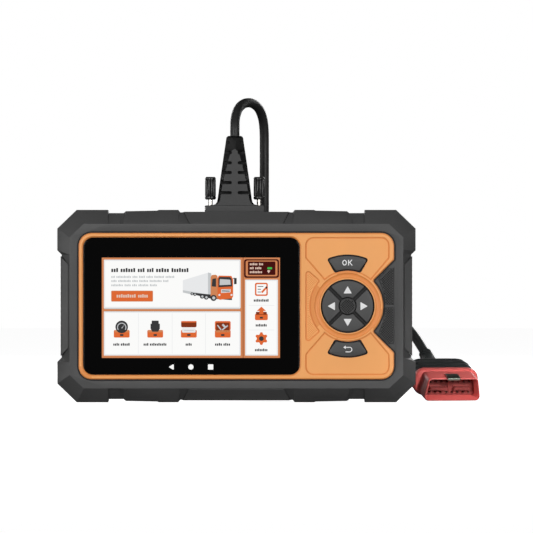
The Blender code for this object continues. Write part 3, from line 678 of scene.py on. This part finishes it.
def sector_keys():
    for name, toward in (("ok", 90), ("back", 270)):
        made = crowned(f"key_{name}_look", sector(toward), KEY_FRONT, KEY_BACK, 0.5)
        piece(made, "key", f"key_{name}_body", [f"key_{name}"])

    x, z = PAD[0], MIDDLE + 29.7
    front, back = LEGEND
    mesh = bmesh.new()
    ring, hole = [[(x - 2.15 + wide * a, z + tall * b) for a, b in circle(0, 0, 1, 32)]
                  for wide, tall in ((1.55, 1.9), (0.899, 1.254))]
    add_loft(mesh, [at_depth(ring, back), at_depth(ring, front), at_depth(hole, front),
                    at_depth(hole, back)], closed=True)
    strokes = [[(x + 0.6, z - 1.9), (x + 0.6, z + 1.9)], [(x + 0.85, z - 0.2), (x + 2.9, z + 1.9)],
               [(x + 1.35, z + 0.3), (x + 3.05, z - 1.9)]]
    for index, stroke in enumerate(strokes):
        add_prism(mesh, ribbon(stroke, 0.62), front - 0.004 * index, back)
    piece(link_mesh("key_ok_letters", mesh), "white", "key_ok_body")

    z = MIDDLE - 29.7
    bend = arc(1.55, 90, -90, 10, (x + 1.3, z))
    path = [(x - 1.6, z + 1.55), *bend, (x - 1.5, z - 1.55)]
    mesh = bmesh.new()
    add_prism(mesh, ribbon(path, 0.6), front, back)
    head = [(x - 3.1, z + 1.55), (x - 1.3, z + 0.35), (x - 1.3, z + 2.75)]
    add_prism(mesh, head, front - 0.005, back)
    piece(link_mesh("key_back_arrow", mesh), "white", "key_back_body")


def spider():
    """Cross between the arrow keys, with a knurled hub."""
    hub, front, back = circle(*PAD, HUB_RADIUS, 64), -20.3, -15.4
    made = stepped("spider_hub", hub, ((front, -0.6), (-20.15, -0.2), (-19.8, 0.0), (back, 0.0)))
    piece(made, "pad", replaces=["dpad_spider"], angle=20)
    # The hub's texture is painted near black, as painted shade.
    texture = lattice("spider_texture", offset(hub, -0.3), front, 1.7, 0.42)
    piece(texture, "pad_painted_shade", angle=10)
    mesh = bmesh.new()
    start, end = HUB_RADIUS - 0.3, PAD_RADIUS + 0.1
    for quarter in range(4):
        turn = Matrix.Rotation(math.radians(45 + 90 * quarter), 2)
        for half, front in ((0.95, -19.2), (0.3, -19.5)):
            corners = ((start, -half), (end, -half), (end, half), (start, half))
            outline = [tuple(Vector(PAD) + turn @ Vector(corner)) for corner in corners]
            add_prism(mesh, outline, front, back)
    piece(link_mesh("spider_arms", mesh), "black")


# Display


class Picture:
    """Flat shapes on the glass, gathered by colour; each layer lies on the one before."""

    def __init__(self):
        self.meshes = {}
        self.x = 0.0  # where the shapes' own x starts

    def add(self, colour, outline, layer):
        mesh = self.meshes.setdefault(colour, bmesh.new())
        outline = [(self.x + x, z) for x, z in outline]
        add_prism(mesh, outline, GLASS_FRONT - 0.03 * layer, GLASS_FRONT + 0.2)

    def plate(self, colour, left, right, low, high, layer, radius):
        self.add(colour, rounded_box(left, right, low, high, radius, 3), layer)

    def words(self, colour, left, middle, height, lengths, layer, space):
        """A row of small blocks in place of words, lengths in mm, set from the left."""
        count = 0
        for length in lengths:
            letters = max(1, round(length / height / 0.78))
            pitch = length / letters
            for letter in range(letters):
                count += 1
                top = middle + height * (0.5 if count % 3 else 0.72)
                start = left + letter * pitch
                self.plate(colour, start, start + pitch * 0.74, middle - height / 2, top, layer,
                           height * 0.12)
            left += length + space

    def label(self, middle, lengths):
        """Small dark words under an icon."""
        width = sum(lengths) + 0.7 * (len(lengths) - 1)
        self.words("dark", -width / 2, middle, 1.5, lengths, 3, 0.7)

    def finish(self):
        for colour, mesh in self.meshes.items():
            piece(link_mesh("display_" + colour, mesh), "lit_" + colour)


def truck(panel):
    """A plain lorry of no make, seen from its front right."""
    side = [(-17.6, 72.8), (-12.9, 71.0), (-12.9, 86.6), (-14.2, 87.4), (-16.8, 87.2), (-17.6, 85.6)]
    front = [(-12.9, 71.4), (-11.4, 70.2), (-3.0, 71.2), (-2.2, 72.6), (-2.2, 84.2), (-3.4, 86.6),
             (-12.0, 86.8), (-12.9, 85.0)]
    windscreen = [(-12.3, 78.8), (-2.8, 79.4), (-3.2, 84.6), (-4.4, 85.8), (-11.6, 85.9), (-12.3, 84.6)]
    chassis = [(-31.0, 74.4), (-17.4, 71.0), (-3.0, 70.0), (-3.0, 72.4), (-31.0, 75.2)]
    for colour, layer, outline in (
        ("pale", 3, [(-36.6, 76.4), (-17.4, 73.4), (-17.4, 88.4), (-19.0, 88.9), (-36.6, 83.6)]),
        ("grey", 4, [(-19.4, 73.8), (-17.2, 73.4), (-17.2, 88.4), (-19.4, 88.9)]),
        ("grey", 4, [(-36.6, 75.2), (-17.4, 71.0), (-17.4, 73.6), (-36.6, 76.8)]),
        ("dark", 5, chassis),
        ("orange", 6, side),
        ("dark", 7, [(-16.9, 79.4), (-13.9, 79.1), (-13.9, 85.0), (-16.4, 84.6)]),
        ("button", 6, front),
        ("dark", 7, windscreen),
        ("grey", 8, [(-11.5, 80.2), (-3.9, 80.6), (-4.2, 84.0), (-11.3, 84.4)]),
        ("pale", 7, [(-10.4, 74.9), (-4.0, 75.4), (-4.0, 77.6), (-10.4, 77.3)]),
        ("dark", 6, [(-1.6, 80.8), (0.2, 81.0), (0.2, 85.2), (-1.6, 85.0)]),
        ("dark", 6, [(-2.4, 84.6), (-0.8, 84.8), (-0.8, 85.3), (-2.4, 85.1)]),
    ):
        panel.add(colour, outline, layer)
    for z in (75.4, 76.35):
        panel.add("dark", [(-10.0, z), (-4.4, z + 0.4), (-4.4, z + 0.85), (-10.0, z + 0.45)], 8)
    for x in (-12.2, -3.9):
        panel.add("pale", [(x, 72.9), (x + 1.2, 73.0), (x + 1.2, 74.2), (x, 74.1)], 7)
    for x, z, radius in ((-15.6, 71.5, 2.1), (-20.6, 71.9, 1.6), (-23.4, 72.5, 1.5), (-28.4, 73.9, 1.05),
                         (-30.4, 74.3, 1.0)):
        panel.add("dark", circle(x, z, radius, 20), 8)
        panel.add("grey", circle(x + 0.15, z, radius * 0.5, 16), 9)


def open_box(panel):
    """Orange case with a dark catch, the base of the lower icons."""
    panel.plate("button", -5.4, 5.4, 44.4, 49.6, 3, 0.8)
    panel.plate("orange", -4.9, 4.9, 48.0, 49.4, 4, 0.4)
    panel.plate("dark", -1.2, 1.2, 45.5, 46.8, 4, 0.4)


def gauge(panel):
    panel.add("dark", circle(0, 51.7, 4.3, 32), 5)
    panel.add("grey", ribbon(arc(2.9, 215, -35, 14, (0, 51.4)), 0.6), 6)
    panel.add("grey", [(-0.3, 50.9), (0.3, 50.7), (1.9, 53.2)], 7)


def engine(panel):
    panel.plate("dark", -2.4, 2.4, 53.6, 56.0, 5, 0.3)
    block = [(-3.2, 50.6), (-2.0, 48.4), (2.0, 48.4), (3.2, 50.6), (3.2, 53.9), (-3.2, 53.9)]
    panel.add("dark", block, 6)


def battery(panel):
    panel.plate("brown", -5.3, 5.3, 51.4, 55.7, 3, 1.0)
    panel.plate("button", -5.3, 5.3, 54.7, 55.7, 4, 0.4)
    panel.plate("pale", -4.6, 4.6, 47.8, 50.8, 5, 0.7)
    panel.plate("grey", -3.4, 3.4, 49.0, 49.5, 6, 0.2)


def tools(panel):
    panel.plate("button", -5.4, 5.4, 49.4, 55.7, 3, 0.9)
    panel.plate("brown", -4.6, 4.6, 48.4, 54.6, 4, 0.5)
    panel.add("grey", ribbon([(-3.6, 52.9), (-1.1, 49.6)], 0.8), 6)
    panel.add("grey", ribbon([(-0.4, 49.6), (3.4, 52.6)], 0.8), 6)
    panel.add("grey", ribbon([(-0.2, 53.4), (1.6, 51.6)], 1.3), 7)


def lower_icons(panel):
    for panel.x, icon, label in ((-78.4, gauge, [4.4, 6.4]), (-55.5, engine, [3.6, 11.6]),
                                   (-32.5, battery, [4.4]), (-9.3, tools, [5.0, 4.8])):
        panel.label(39.6, label)
        open_box(panel)
        icon(panel)


def right_icons(panel):
    """A form with a pencil, a case with an arrow, and a gear."""
    panel.x = 17.1
    for middle, label in ((69.7, [10.4]), (52.7, [7.8]), (35.8, [8.8])):
        panel.label(middle, label)
    panel.plate("button", -4.4, 4.4, 72.9, 81.9, 3, 1.2)
    panel.plate("white", -3.4, 3.4, 73.9, 80.9, 4, 0.6)
    for row, end in enumerate((1.4, -0.2, -0.2)):
        panel.plate("dark", -2.6, end, 79.1 - row * 1.9, 79.6 - row * 1.9, 5, 0.2)
    panel.add("button", ribbon([(0.2, 75.2), (3.0, 78.2)], 1.3), 6)
    panel.add("dark", ribbon([(3.0, 78.2), (3.8, 79.1)], 1.3), 7)
    panel.plate("button", -4.4, 4.4, 56.3, 60.8, 3, 0.9)
    panel.plate("brown", -3.7, 3.7, 60.0, 62.0, 4, 0.4)
    panel.plate("dark", -1.1, 1.1, 57.4, 58.6, 4, 0.3)
    arrow = [(-1.4, 60.4), (1.4, 60.4), (1.4, 62.6), (3.2, 62.6), (0, 65.6), (-3.2, 62.6), (-1.4, 62.6)]
    panel.add("button", arrow, 5)
    teeth, middle = 6, 43.7
    gear = []
    for step in range(teeth * 8):
        angle = math.tau * step / (teeth * 8)
        radius = 3.75 + 0.75 * max(-0.8, min(0.8, 1.6 * math.cos(angle * teeth + math.pi)))
        gear.append((radius * math.cos(angle), middle + radius * math.sin(angle)))
    panel.add("button", gear, 3)
    panel.add("dark", circle(0, middle, 1.6, 24), 4)


def display():
    panel = Picture()
    panel.plate("orange", -92.0, 29.8, 30.5, 99.1, 1, 0.3)
    for left, right, low, high in ((-90.6, 2.9, 64.5, 97.7), (-90.6, 2.9, 32.1, 62.3),
                                   (6.0, 28.4, 32.1, 84.0)):
        panel.plate("pale", left, right, low, high, 2, 0.4)
        panel.plate("white", left + 0.9, right - 0.9, low + 0.9, high - 0.9, 2.4, 0.4)
    for low, high in ((63.9, 64.5), (62.1, 62.4)):
        panel.plate("grey", -90.3, 2.6, low, high, 2, 0.1)
    panel.plate("brown", 4.4, 4.8, 30.5, 99.1, 2, 0.1)
    for x in (-67.0, -43.9, -21.1):
        panel.plate("pale", x - 0.15, x + 0.15, 33.4, 61.0, 3, 0.05)
    for z in (66.4, 49.6):
        panel.plate("pale", 8.4, 26.0, z - 0.15, z + 0.15, 3, 0.05)
    panel.plate("maroon", 5.2, 29.2, 85.2, 98.0, 2, 1.6)
    panel.plate("orange", 6.4, 28.1, 86.3, 97.1, 3, 1.2)
    panel.plate("maroon", 7.9, 26.7, 87.2, 96.4, 4, 0.5)
    for middle, lengths in ((94.5, [5.4, 3.0]), (91.8, [2.8, 4.4]), (89.1, [8.6])):
        panel.words("cream", 9.2, middle, 1.3, lengths, 5, 0.9)
    panel.plate("green", 21.2, 24.4, 91.1, 92.5, 5, 0.4)
    panel.add("cream", [(21.0, 90.1), (22.1, 88.4), (23.2, 90.1), (22.1, 90.6)], 5)
    panel.words("dark", -85.5, 90.3, 2.3, [5.0, 10.4, 5.0, 4.8, 9.2, 12.0], 3, 1.35)
    for middle, lengths in ((85.8, [2.6, 10.2, 3.6, 4.2, 4.6, 6.8, 6.2]),
                            (83.0, [3.8, 8.8, 4.0, 6.2, 8.4, 3.8]), (80.1, [8.2, 4.4, 3.4, 7.0, 5.0])):
        panel.words("grey", -85.5, middle, 1.25, lengths, 3, 0.85)
    panel.plate("orange", -85.6, -57.0, 69.0, 76.5, 3, 0.6)
    panel.plate("button", -85.2, -57.4, 69.4, 76.1, 4, 0.5)
    panel.words("cream", -81.9, 72.7, 1.9, [13.4, 7.0], 5, 1.3)
    truck(panel)
    # Plain navigation marks under the display: back, home and overview
    panel.add("white", rounded([(-42.8, 22.2, 0.4), (-42.8, 26.4, 0.4), (-46.4, 24.3, 0.4)], 3), 1)
    panel.add("white", circle(-31.1, 24.3, 1.8, 32), 1)
    panel.plate("white", -19.4, -15.8, 22.5, 26.1, 1, 0.4)
    lower_icons(panel)
    right_icons(panel)
    panel.finish()


# Cable connector


def hood_section(half_width, side_depth, flat, depth, z):
    """Eight-sided section: flat is the half width of its front and rear faces."""
    quarter = [(half_width, side_depth), (flat, depth)]
    upper = quarter + [(-x, y) for x, y in reversed(quarter)]
    return [(PLUG_X + x, y, z) for x, y in upper + [(-x, -y) for x, y in upper]]


def plug_hood():
    levels = [
        (20.4, 7.0, 19.9, 7.7, 130.35), (20.5, 7.2, 20.0, 7.8, 131.2), (20.5, 7.2, 20.0, 7.8, 134.2),
        (20.3, 7.0, 19.7, 7.7, 134.7), (19.4, 6.9, 19.0, 7.5, 134.9), (15.6, 6.4, 14.9, 7.6, 135.0),
        (13.3, 5.4, 11.9, 7.6, 135.7), (12.2, 4.6, 10.6, 7.6, 137.2), (11.7, 4.2, 9.9, 7.6, 139.4),
        (11.1, 3.8, 9.3, 7.6, 144.0), (9.9, 3.2, 7.5, 7.4, 153.0), (8.6, 2.8, 5.3, 7.1, 162.0),
        (7.6, 2.5, 3.5, 6.7, 169.0), (7.1, 2.4, 1.9, 6.4, 172.2), (6.9, 2.4, 0.5, 6.2, 173.5),
        (6.2, 2.4, 0.9, 5.6, 178.2), (5.8, 2.4, 1.4, 5.3, 181.2), (5.3, 2.2, 1.4, 4.9, 182.0),
        (4.3, 2.1, 1.4, 4.0, 182.6),
    ]
    made = loft("hood_look", [hood_section(*level) for level in levels])
    slots = []
    for z, inner in ((143.6, 1.95), (150.5, 1.95), (157.4, 1.95), (164.1, 1.95), (171.0, 1.95), (178.0, 3.4)):
        low, high = z - 1.1, z + 1.1
        right = rounded([(30, low), (30, high), (inner, high, 1.05), (inner, low, 1.05)], 4)
        left = [(-x, height) for x, height in reversed(right)]
        for outline in (right, left):
            outline = [(PLUG_X + x, height) for x, height in outline]
            slots += [prism("cutter", outline, -20, -2.2), prism("cutter", outline, 2.2, 20)]
    notches = [box("cutter", (-30.0, -20.0, z), (PLUG_X - 20.0, 20.0, z + 0.5)) for z in (131.9, 133.0)]
    carve(made, *slots, *notches)
    bevelled(made, 0.18, 2, 35)
    piece(made, "hood", replaces=["plug_hood"], angle=24)
    # Faces other than the front, the rear and the base band (the side faces, the top and the slot walls) are
    # painted near black, as painted shade.
    made.data.materials.append(MATERIALS["hood_painted_shade"])
    for face in made.data.polygons:
        y, z = face.center.y / MM, face.center.z / MM
        on_front = abs(face.normal.y) > 0.95 and abs(y) > 4.0 and z < 173.4
        face.material_index = 0 if on_front or z < 134.95 else 1


def thumb_screws():
    knob = [(1.7, 138.9), (2.9, 138.9), (3.6, 139.3), (3.75, 139.9), (3.75, 140.9), (3.45, 141.2),
            (3.7, 141.6), (3.7, 152.2), (3.45, 152.6), (3.75, 152.9), (3.75, 153.5), (3.55, 154.1),
            (2.9, 154.5), (0.6, 154.5)]
    shaft = [(1.3, 122.5), (1.5, 123.2), (1.5, 131.0), (1.5, 138.95)]
    for name, side in SIDES:
        name = "thumb_screw_" + name
        middle = (PLUG_X + side * POST_OFFSET, 0.0)
        made = turned(name + "_knob", knob, 140, "z", middle, flute=(10, 1.0, 141.5, 152.3))
        piece(made, "knob", name + "_body", [name], angle=40)
        made = turned(name + "_shaft", shaft, 32, "z", middle)
        piece(made, "nickel", name + "_body")


# Cable


def smooth_points(route, per_span):
    """Points of one smooth curve through a route, its tangents taken from each point's neighbours."""
    knots = [Vector(point) for point in route]
    slopes = [knots[1] - knots[0]]
    slopes += [(after - before) / 2 for before, after in zip(knots, knots[2:])]
    slopes.append(knots[-1] - knots[-2])
    points = [knots[0]]
    for index in range(len(knots) - 1):
        first, last = knots[index], knots[index + 1]
        handles = first + slopes[index] / 3, last - slopes[index + 1] / 3
        points += interpolate_bezier(first, *handles, last, per_span + 1)[1:]
    return points


def coil_points():
    """Five turns: one on top, three side by side on the floor, and one more on top."""
    low, high = 4.85, 10.55
    above = (COIL_RADIUS, 17.25)
    slots = [above, (COIL_RADIUS + CABLE / 2, high), (COIL_RADIUS + CABLE, low), (COIL_RADIUS, low),
             (COIL_RADIUS - CABLE, low), (COIL_RADIUS - CABLE / 2, high), above]
    first, last, shift, step = -75.0, 1793.6, 50.0, 8.0
    points = []
    angle = first + step
    while angle < last - step / 2:
        turn = int((angle - first) // 360)
        share = min(1.0, ((angle - first) % 360) / shift)
        share = share * share * (3 - 2 * share)
        radius, z = [a + (b - a) * share for a, b in zip(slots[turn], slots[turn + 1])]
        turned_to = math.radians(angle)
        points.append((COIL_CENTRE[0] + radius * math.cos(turned_to),
                       COIL_CENTRE[1] + radius * math.sin(turned_to), z))
        angle += step
    return points


def cable():
    points = smooth_points(LEAD_ROUTE + coil_points() + TAIL_ROUTE, 4)
    curve = bpy.data.curves.new("cable", "CURVE")
    curve.dimensions = "3D"
    curve.bevel_depth = CABLE / 2 * MM
    curve.bevel_resolution = 6
    curve.use_fill_caps = True
    spline = curve.splines.new("POLY")
    spline.points.add(len(points) - 1)
    for knot, point in zip(spline.points, points):
        knot.co = (*(point * MM), 1.0)
    spline.use_smooth = True
    curve.materials.append(MATERIALS["cable"])
    nodes = ["cable_lead", "cable_coil", "cable_tail"]
    return piece(put("cable", curve), "cable", replaces=nodes)


# Vehicle plug, modelled with its mouth at y = 0, then turned into place


def placed(made):
    turn = Euler((math.radians(MOUTH_PITCH), 0.0, math.radians(MOUTH_YAW))).to_matrix().to_4x4()
    made.data.transform(Matrix.Translation([value * MM for value in MOUTH]) @ turn)
    return made


def plug_mouth():
    return rounded([(20.5, -8.3, 3.2), (17.7, 8.3, 3.2), (-17.7, 8.3, 3.2), (-20.5, -8.3, 3.2)])


def body_section(half_width, half_height, y, corner):
    radius = corner * half_height
    return at_depth(rounded_box(-half_width, half_width, -half_height, half_height, radius, 8), y)


def red_shroud():
    shroud = stepped("shroud_look", plug_mouth(),
                     ((0.0, -0.8), (0.15, -0.4), (0.5, -0.12), (1.1, 0.0), (18.0, 0.0)))
    collar = [(20.7, 8.5, 16.2), (22.0, 8.9, 16.7), (22.7, 9.35, 17.6), (22.9, 9.5, 18.6), (22.9, 9.5, 20.9),
              (22.5, 9.3, 21.5)]
    fuse(shroud, loft("collar", [body_section(*level, 0.75) for level in collar]))
    hollow = ((-1.0, -0.85), (0.3, -0.85), (1.8, -1.5), (17.4, -1.5))
    carve(shroud, stepped("cutter", plug_mouth(), hollow),
          box("cutter", (-5.1, -2.0, 7.6), (5.1, 8.4, 9.6)))
    bevelled(shroud, 0.3, 3, 35)
    piece(placed(shroud), "red", replaces=["obd_shroud"], angle=30)


def insert_and_pins():
    """Carrier with two tongues, and sixteen pins in two rows."""
    front = 9.5
    insert = prism("insert_look", offset(plug_mouth(), -1.8), front, 15.8)
    tongues = [box("tongue", (side * 8.5 - 5.8, 5.6, -2.0), (side * 8.5 + 5.8, front + 0.5, -0.4))
               for side in (-1, 1)]
    fuse(insert, *tongues, box("rib", (-1.5, front - 1.0, -4.6), (1.5, front + 0.5, 3.4)))
    pin = [(-0.7, -0.32), (0.7, -0.32), (0.7, 0.32), (-0.7, 0.32)]
    tip = [(a * 0.55, b * 0.4) for a, b in pin]
    pins = bmesh.new()
    for row in (2.9, -4.7):
        for column in range(8):
            x = -14.0 + 4.0 * column
            carve(insert, box("cutter", (x - 0.95, front - 3.0, row - 0.2), (x + 0.95, 11.5, row + 0.8)))
            add_loft(pins, [[(x + a, y, row + b) for a, b in shape]
                            for shape, y in ((tip, 7.4), (pin, 8.3), (pin, 15.5))])
    bevelled(insert, 0.15, 2, 35)
    piece(placed(insert), "red_dark", replaces=["obd_insert"], angle=30)
    piece(placed(link_mesh("contacts_look", pins)), "nickel", replaces=["obd_contacts"])


def latch_tab():
    path = [(8.9, 7.9), (8.3, 8.7), (7.0, 9.05), (3.0, 9.0), (0.6, 8.6), (-0.35, 8.1), (-0.5, 7.1),
            (0.3, 6.3)]
    section = ribbon(path, 0.55)
    tab = loft("latch_look", [[(x, y, z) for y, z in section] for x in (-4.4, 4.4)])
    bevelled(tab, 0.12, 2, 35)
    piece(placed(tab), "tab", replaces=["obd_latch_tab"])


def along_stops(stops, place):
    """Values read off a list of (place, value, ...), straight between its entries."""
    for before, after in zip(stops, stops[1:]):
        if place <= after[0]:
            share = (place - before[0]) / (after[0] - before[0])
            return [a + (b - a) * share for a, b in zip(before[1:], after[1:])]
    return list(stops[-1][1:])


def backshell():
    """Rear part of the plug, with ridges across it."""
    stops = [(21.7, 21.3, 9.0), (25.0, 22.0, 9.4), (35.0, 22.2, 9.5), (41.0, 21.2, 9.35),
             (44.0, 18.4, 8.9), (46.4, 14.2, 8.3), (48.6, 10.4, 7.4)]
    rings = []
    first, last, levels = 21.7, 48.2, 84
    for level in range(levels + 1):
        y = first + (last - first) * level / levels
        half_width, half_height = along_stops(stops, y)
        wave = math.cos((y - 22.4) / 6.6 * math.tau)
        ridge = 0.75 * max(-0.7, min(0.2, wave)) if y < 43.0 else -0.1
        rings.append(body_section(half_width + ridge, half_height + ridge, y, 0.72))
    made = placed(loft("backshell_look", rings))
    piece(made, "shell", replaces=["obd_backshell"], angle=60)


def strain_relief():
    """Ribbed sleeve, bent up towards the cable."""
    points = smooth_points(RELIEF_ROUTE, 24)
    rings = []
    for index, point in enumerate(points):
        share = index / (len(points) - 1)
        along = points[min(index + 1, len(points) - 1)] - points[max(index - 1, 0)]
        across = along.cross(Vector((1.0, 0.0, 0.0))).normalized()
        upward = across.cross(along).normalized()
        groove = 0.6 if index % 9 in (6, 7, 8) and 5 < index < len(points) - 6 else 0.0
        radius = 6.3 - 1.9 * share - groove
        if index in (0, len(points) - 1):
            radius -= 0.6
        angles = [math.tau * step / 32 for step in range(32)]
        rings.append([point + radius * (across * math.cos(angle) + upward * math.sin(angle))
                      for angle in angles])
    made = loft("relief_look", rings)
    piece(made, "shell", replaces=["obd_strain_relief"], angle=40)


# The CAD pieces that keep their shape


def paint_rest():
    finishes = {
        "board": ["key_board", "main_board"],
        "black": ["keypad_mat", "battery_pack", "speaker", "db15_socket", "cable_tie"],
        "steel": ["processor_shield", "plug_shell", *[f"board_screw_{number}" for number in range(1, 5)],
                  *[f"case_screw_{number}" for number in range(1, 7)]],
        "nickel": ["jack_post_left", "jack_post_right"],
        "glass": ["lcd_module"],
    }
    for material, names in finishes.items():
        for name in names:
            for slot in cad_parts[name].material_slots:
                slot.material = MATERIALS[material]


# Stage


def light(name, kind, place, target, power):
    data = bpy.data.lights.new(name, kind)
    data.energy = power
    made = put(name, data)
    made.location = place
    made.rotation_euler = (Vector(target) - Vector(place)).to_track_quat("-Z", "Y").to_euler()
    return data


def area_light(name, place, size, power):
    data = light(name, "AREA", place, (0.0, 0.0, 0.07), power)
    data.shape = "RECTANGLE"
    data.size, data.size_y = size


def backdrop():
    """White where the camera looks, dim for everything else."""
    scene = bpy.context.scene
    scene.view_settings.view_transform = "Standard"
    scene.view_settings.look = "None"
    world = bpy.data.worlds.new("studio")
    scene.world = world
    world.use_nodes = True
    tree = world.node_tree
    tree.nodes.clear()
    kinds = ("OutputWorld", "MixShader", "LightPath", "Background", "Background")
    output, mix, path, shown, dim = [tree.nodes.new("ShaderNode" + kind) for kind in kinds]
    shown.inputs["Color"].default_value = (1.0, 1.0, 1.0, 1.0)
    dim.inputs["Color"].default_value = (0.045, 0.045, 0.046, 1.0)
    sources = (path.outputs["Is Camera Ray"], dim.outputs[0], shown.outputs[0])
    for source, target in zip(sources, mix.inputs):
        tree.links.new(source, target)
    tree.links.new(mix.outputs[0], output.inputs["Surface"])

    mesh = bmesh.new()
    bmesh.ops.create_grid(mesh, x_segments=1, y_segments=1, size=6.0)  # metres
    floor = link_mesh("floor", mesh)
    floor.location = (0.0, 0.0, -0.0002)
    made = Surface("pale_floor", (0.9, 0.9, 0.9), 0.9, specular=0.0)
    made.shader.inputs["Emission Color"].default_value = (1.0, 1.0, 1.0, 1.0)
    made.shader.inputs["Emission Strength"].default_value = 0.93
    floor.data.materials.append(made.made)
    floor.visible_diffuse = False
    floor.visible_glossy = False


def lights():
    for name, side in SIDES:
        area_light("front_" + name, (side * 0.95, -1.75, 0.32), (0.55, 1.1), 22.5)
    for (name, side), power in zip(SIDES, (7.0, 2.0)):
        area_light("side_" + name, (side * 1.7, -0.35, 0.25), (0.9, 1.0), power)
    area_light("above", (0.0, -0.3, 1.9), (1.4, 1.0), 1.2)
    for name, side in SIDES:
        area_light("rear_" + name, (side * 1.0, 1.7, 0.7), (0.8, 0.8), 12.0)
    spot = light("plug_light", "SPOT", (0.75, -1.2, 0.45), (0.163, 0.03, 0.016), 165.0)
    spot.spot_size, spot.spot_blend = math.radians(2.9), 0.5
    spot.shadow_soft_size = 0.06


def camera():
    """Straight on to the tablet's face, from far enough away to flatten it."""
    distance, width = 5.0, 0.3644
    data = bpy.data.cameras.new("camera")
    data.sensor_width = 36.0
    data.lens = data.sensor_width * (distance - 0.02) / width
    data.clip_end = 50.0
    made = put("camera", data)
    made.location = (0.0206, -distance, 0.093)
    made.rotation_euler = (math.radians(90), 0.0, 0.0)
    bpy.context.scene.camera = made


camera()
backdrop()
lights()
cord = cable()
case()
plate_seals()
side_grips()
grip_pads()
bezel()
key_well_shade()
gasket()
cover_glass()
display()
arrow_keys()
sector_keys()
spider()
plug_hood()
thumb_screws()
red_shroud()
insert_and_pins()
latch_tab()
backshell()
strain_relief()
paint_rest()
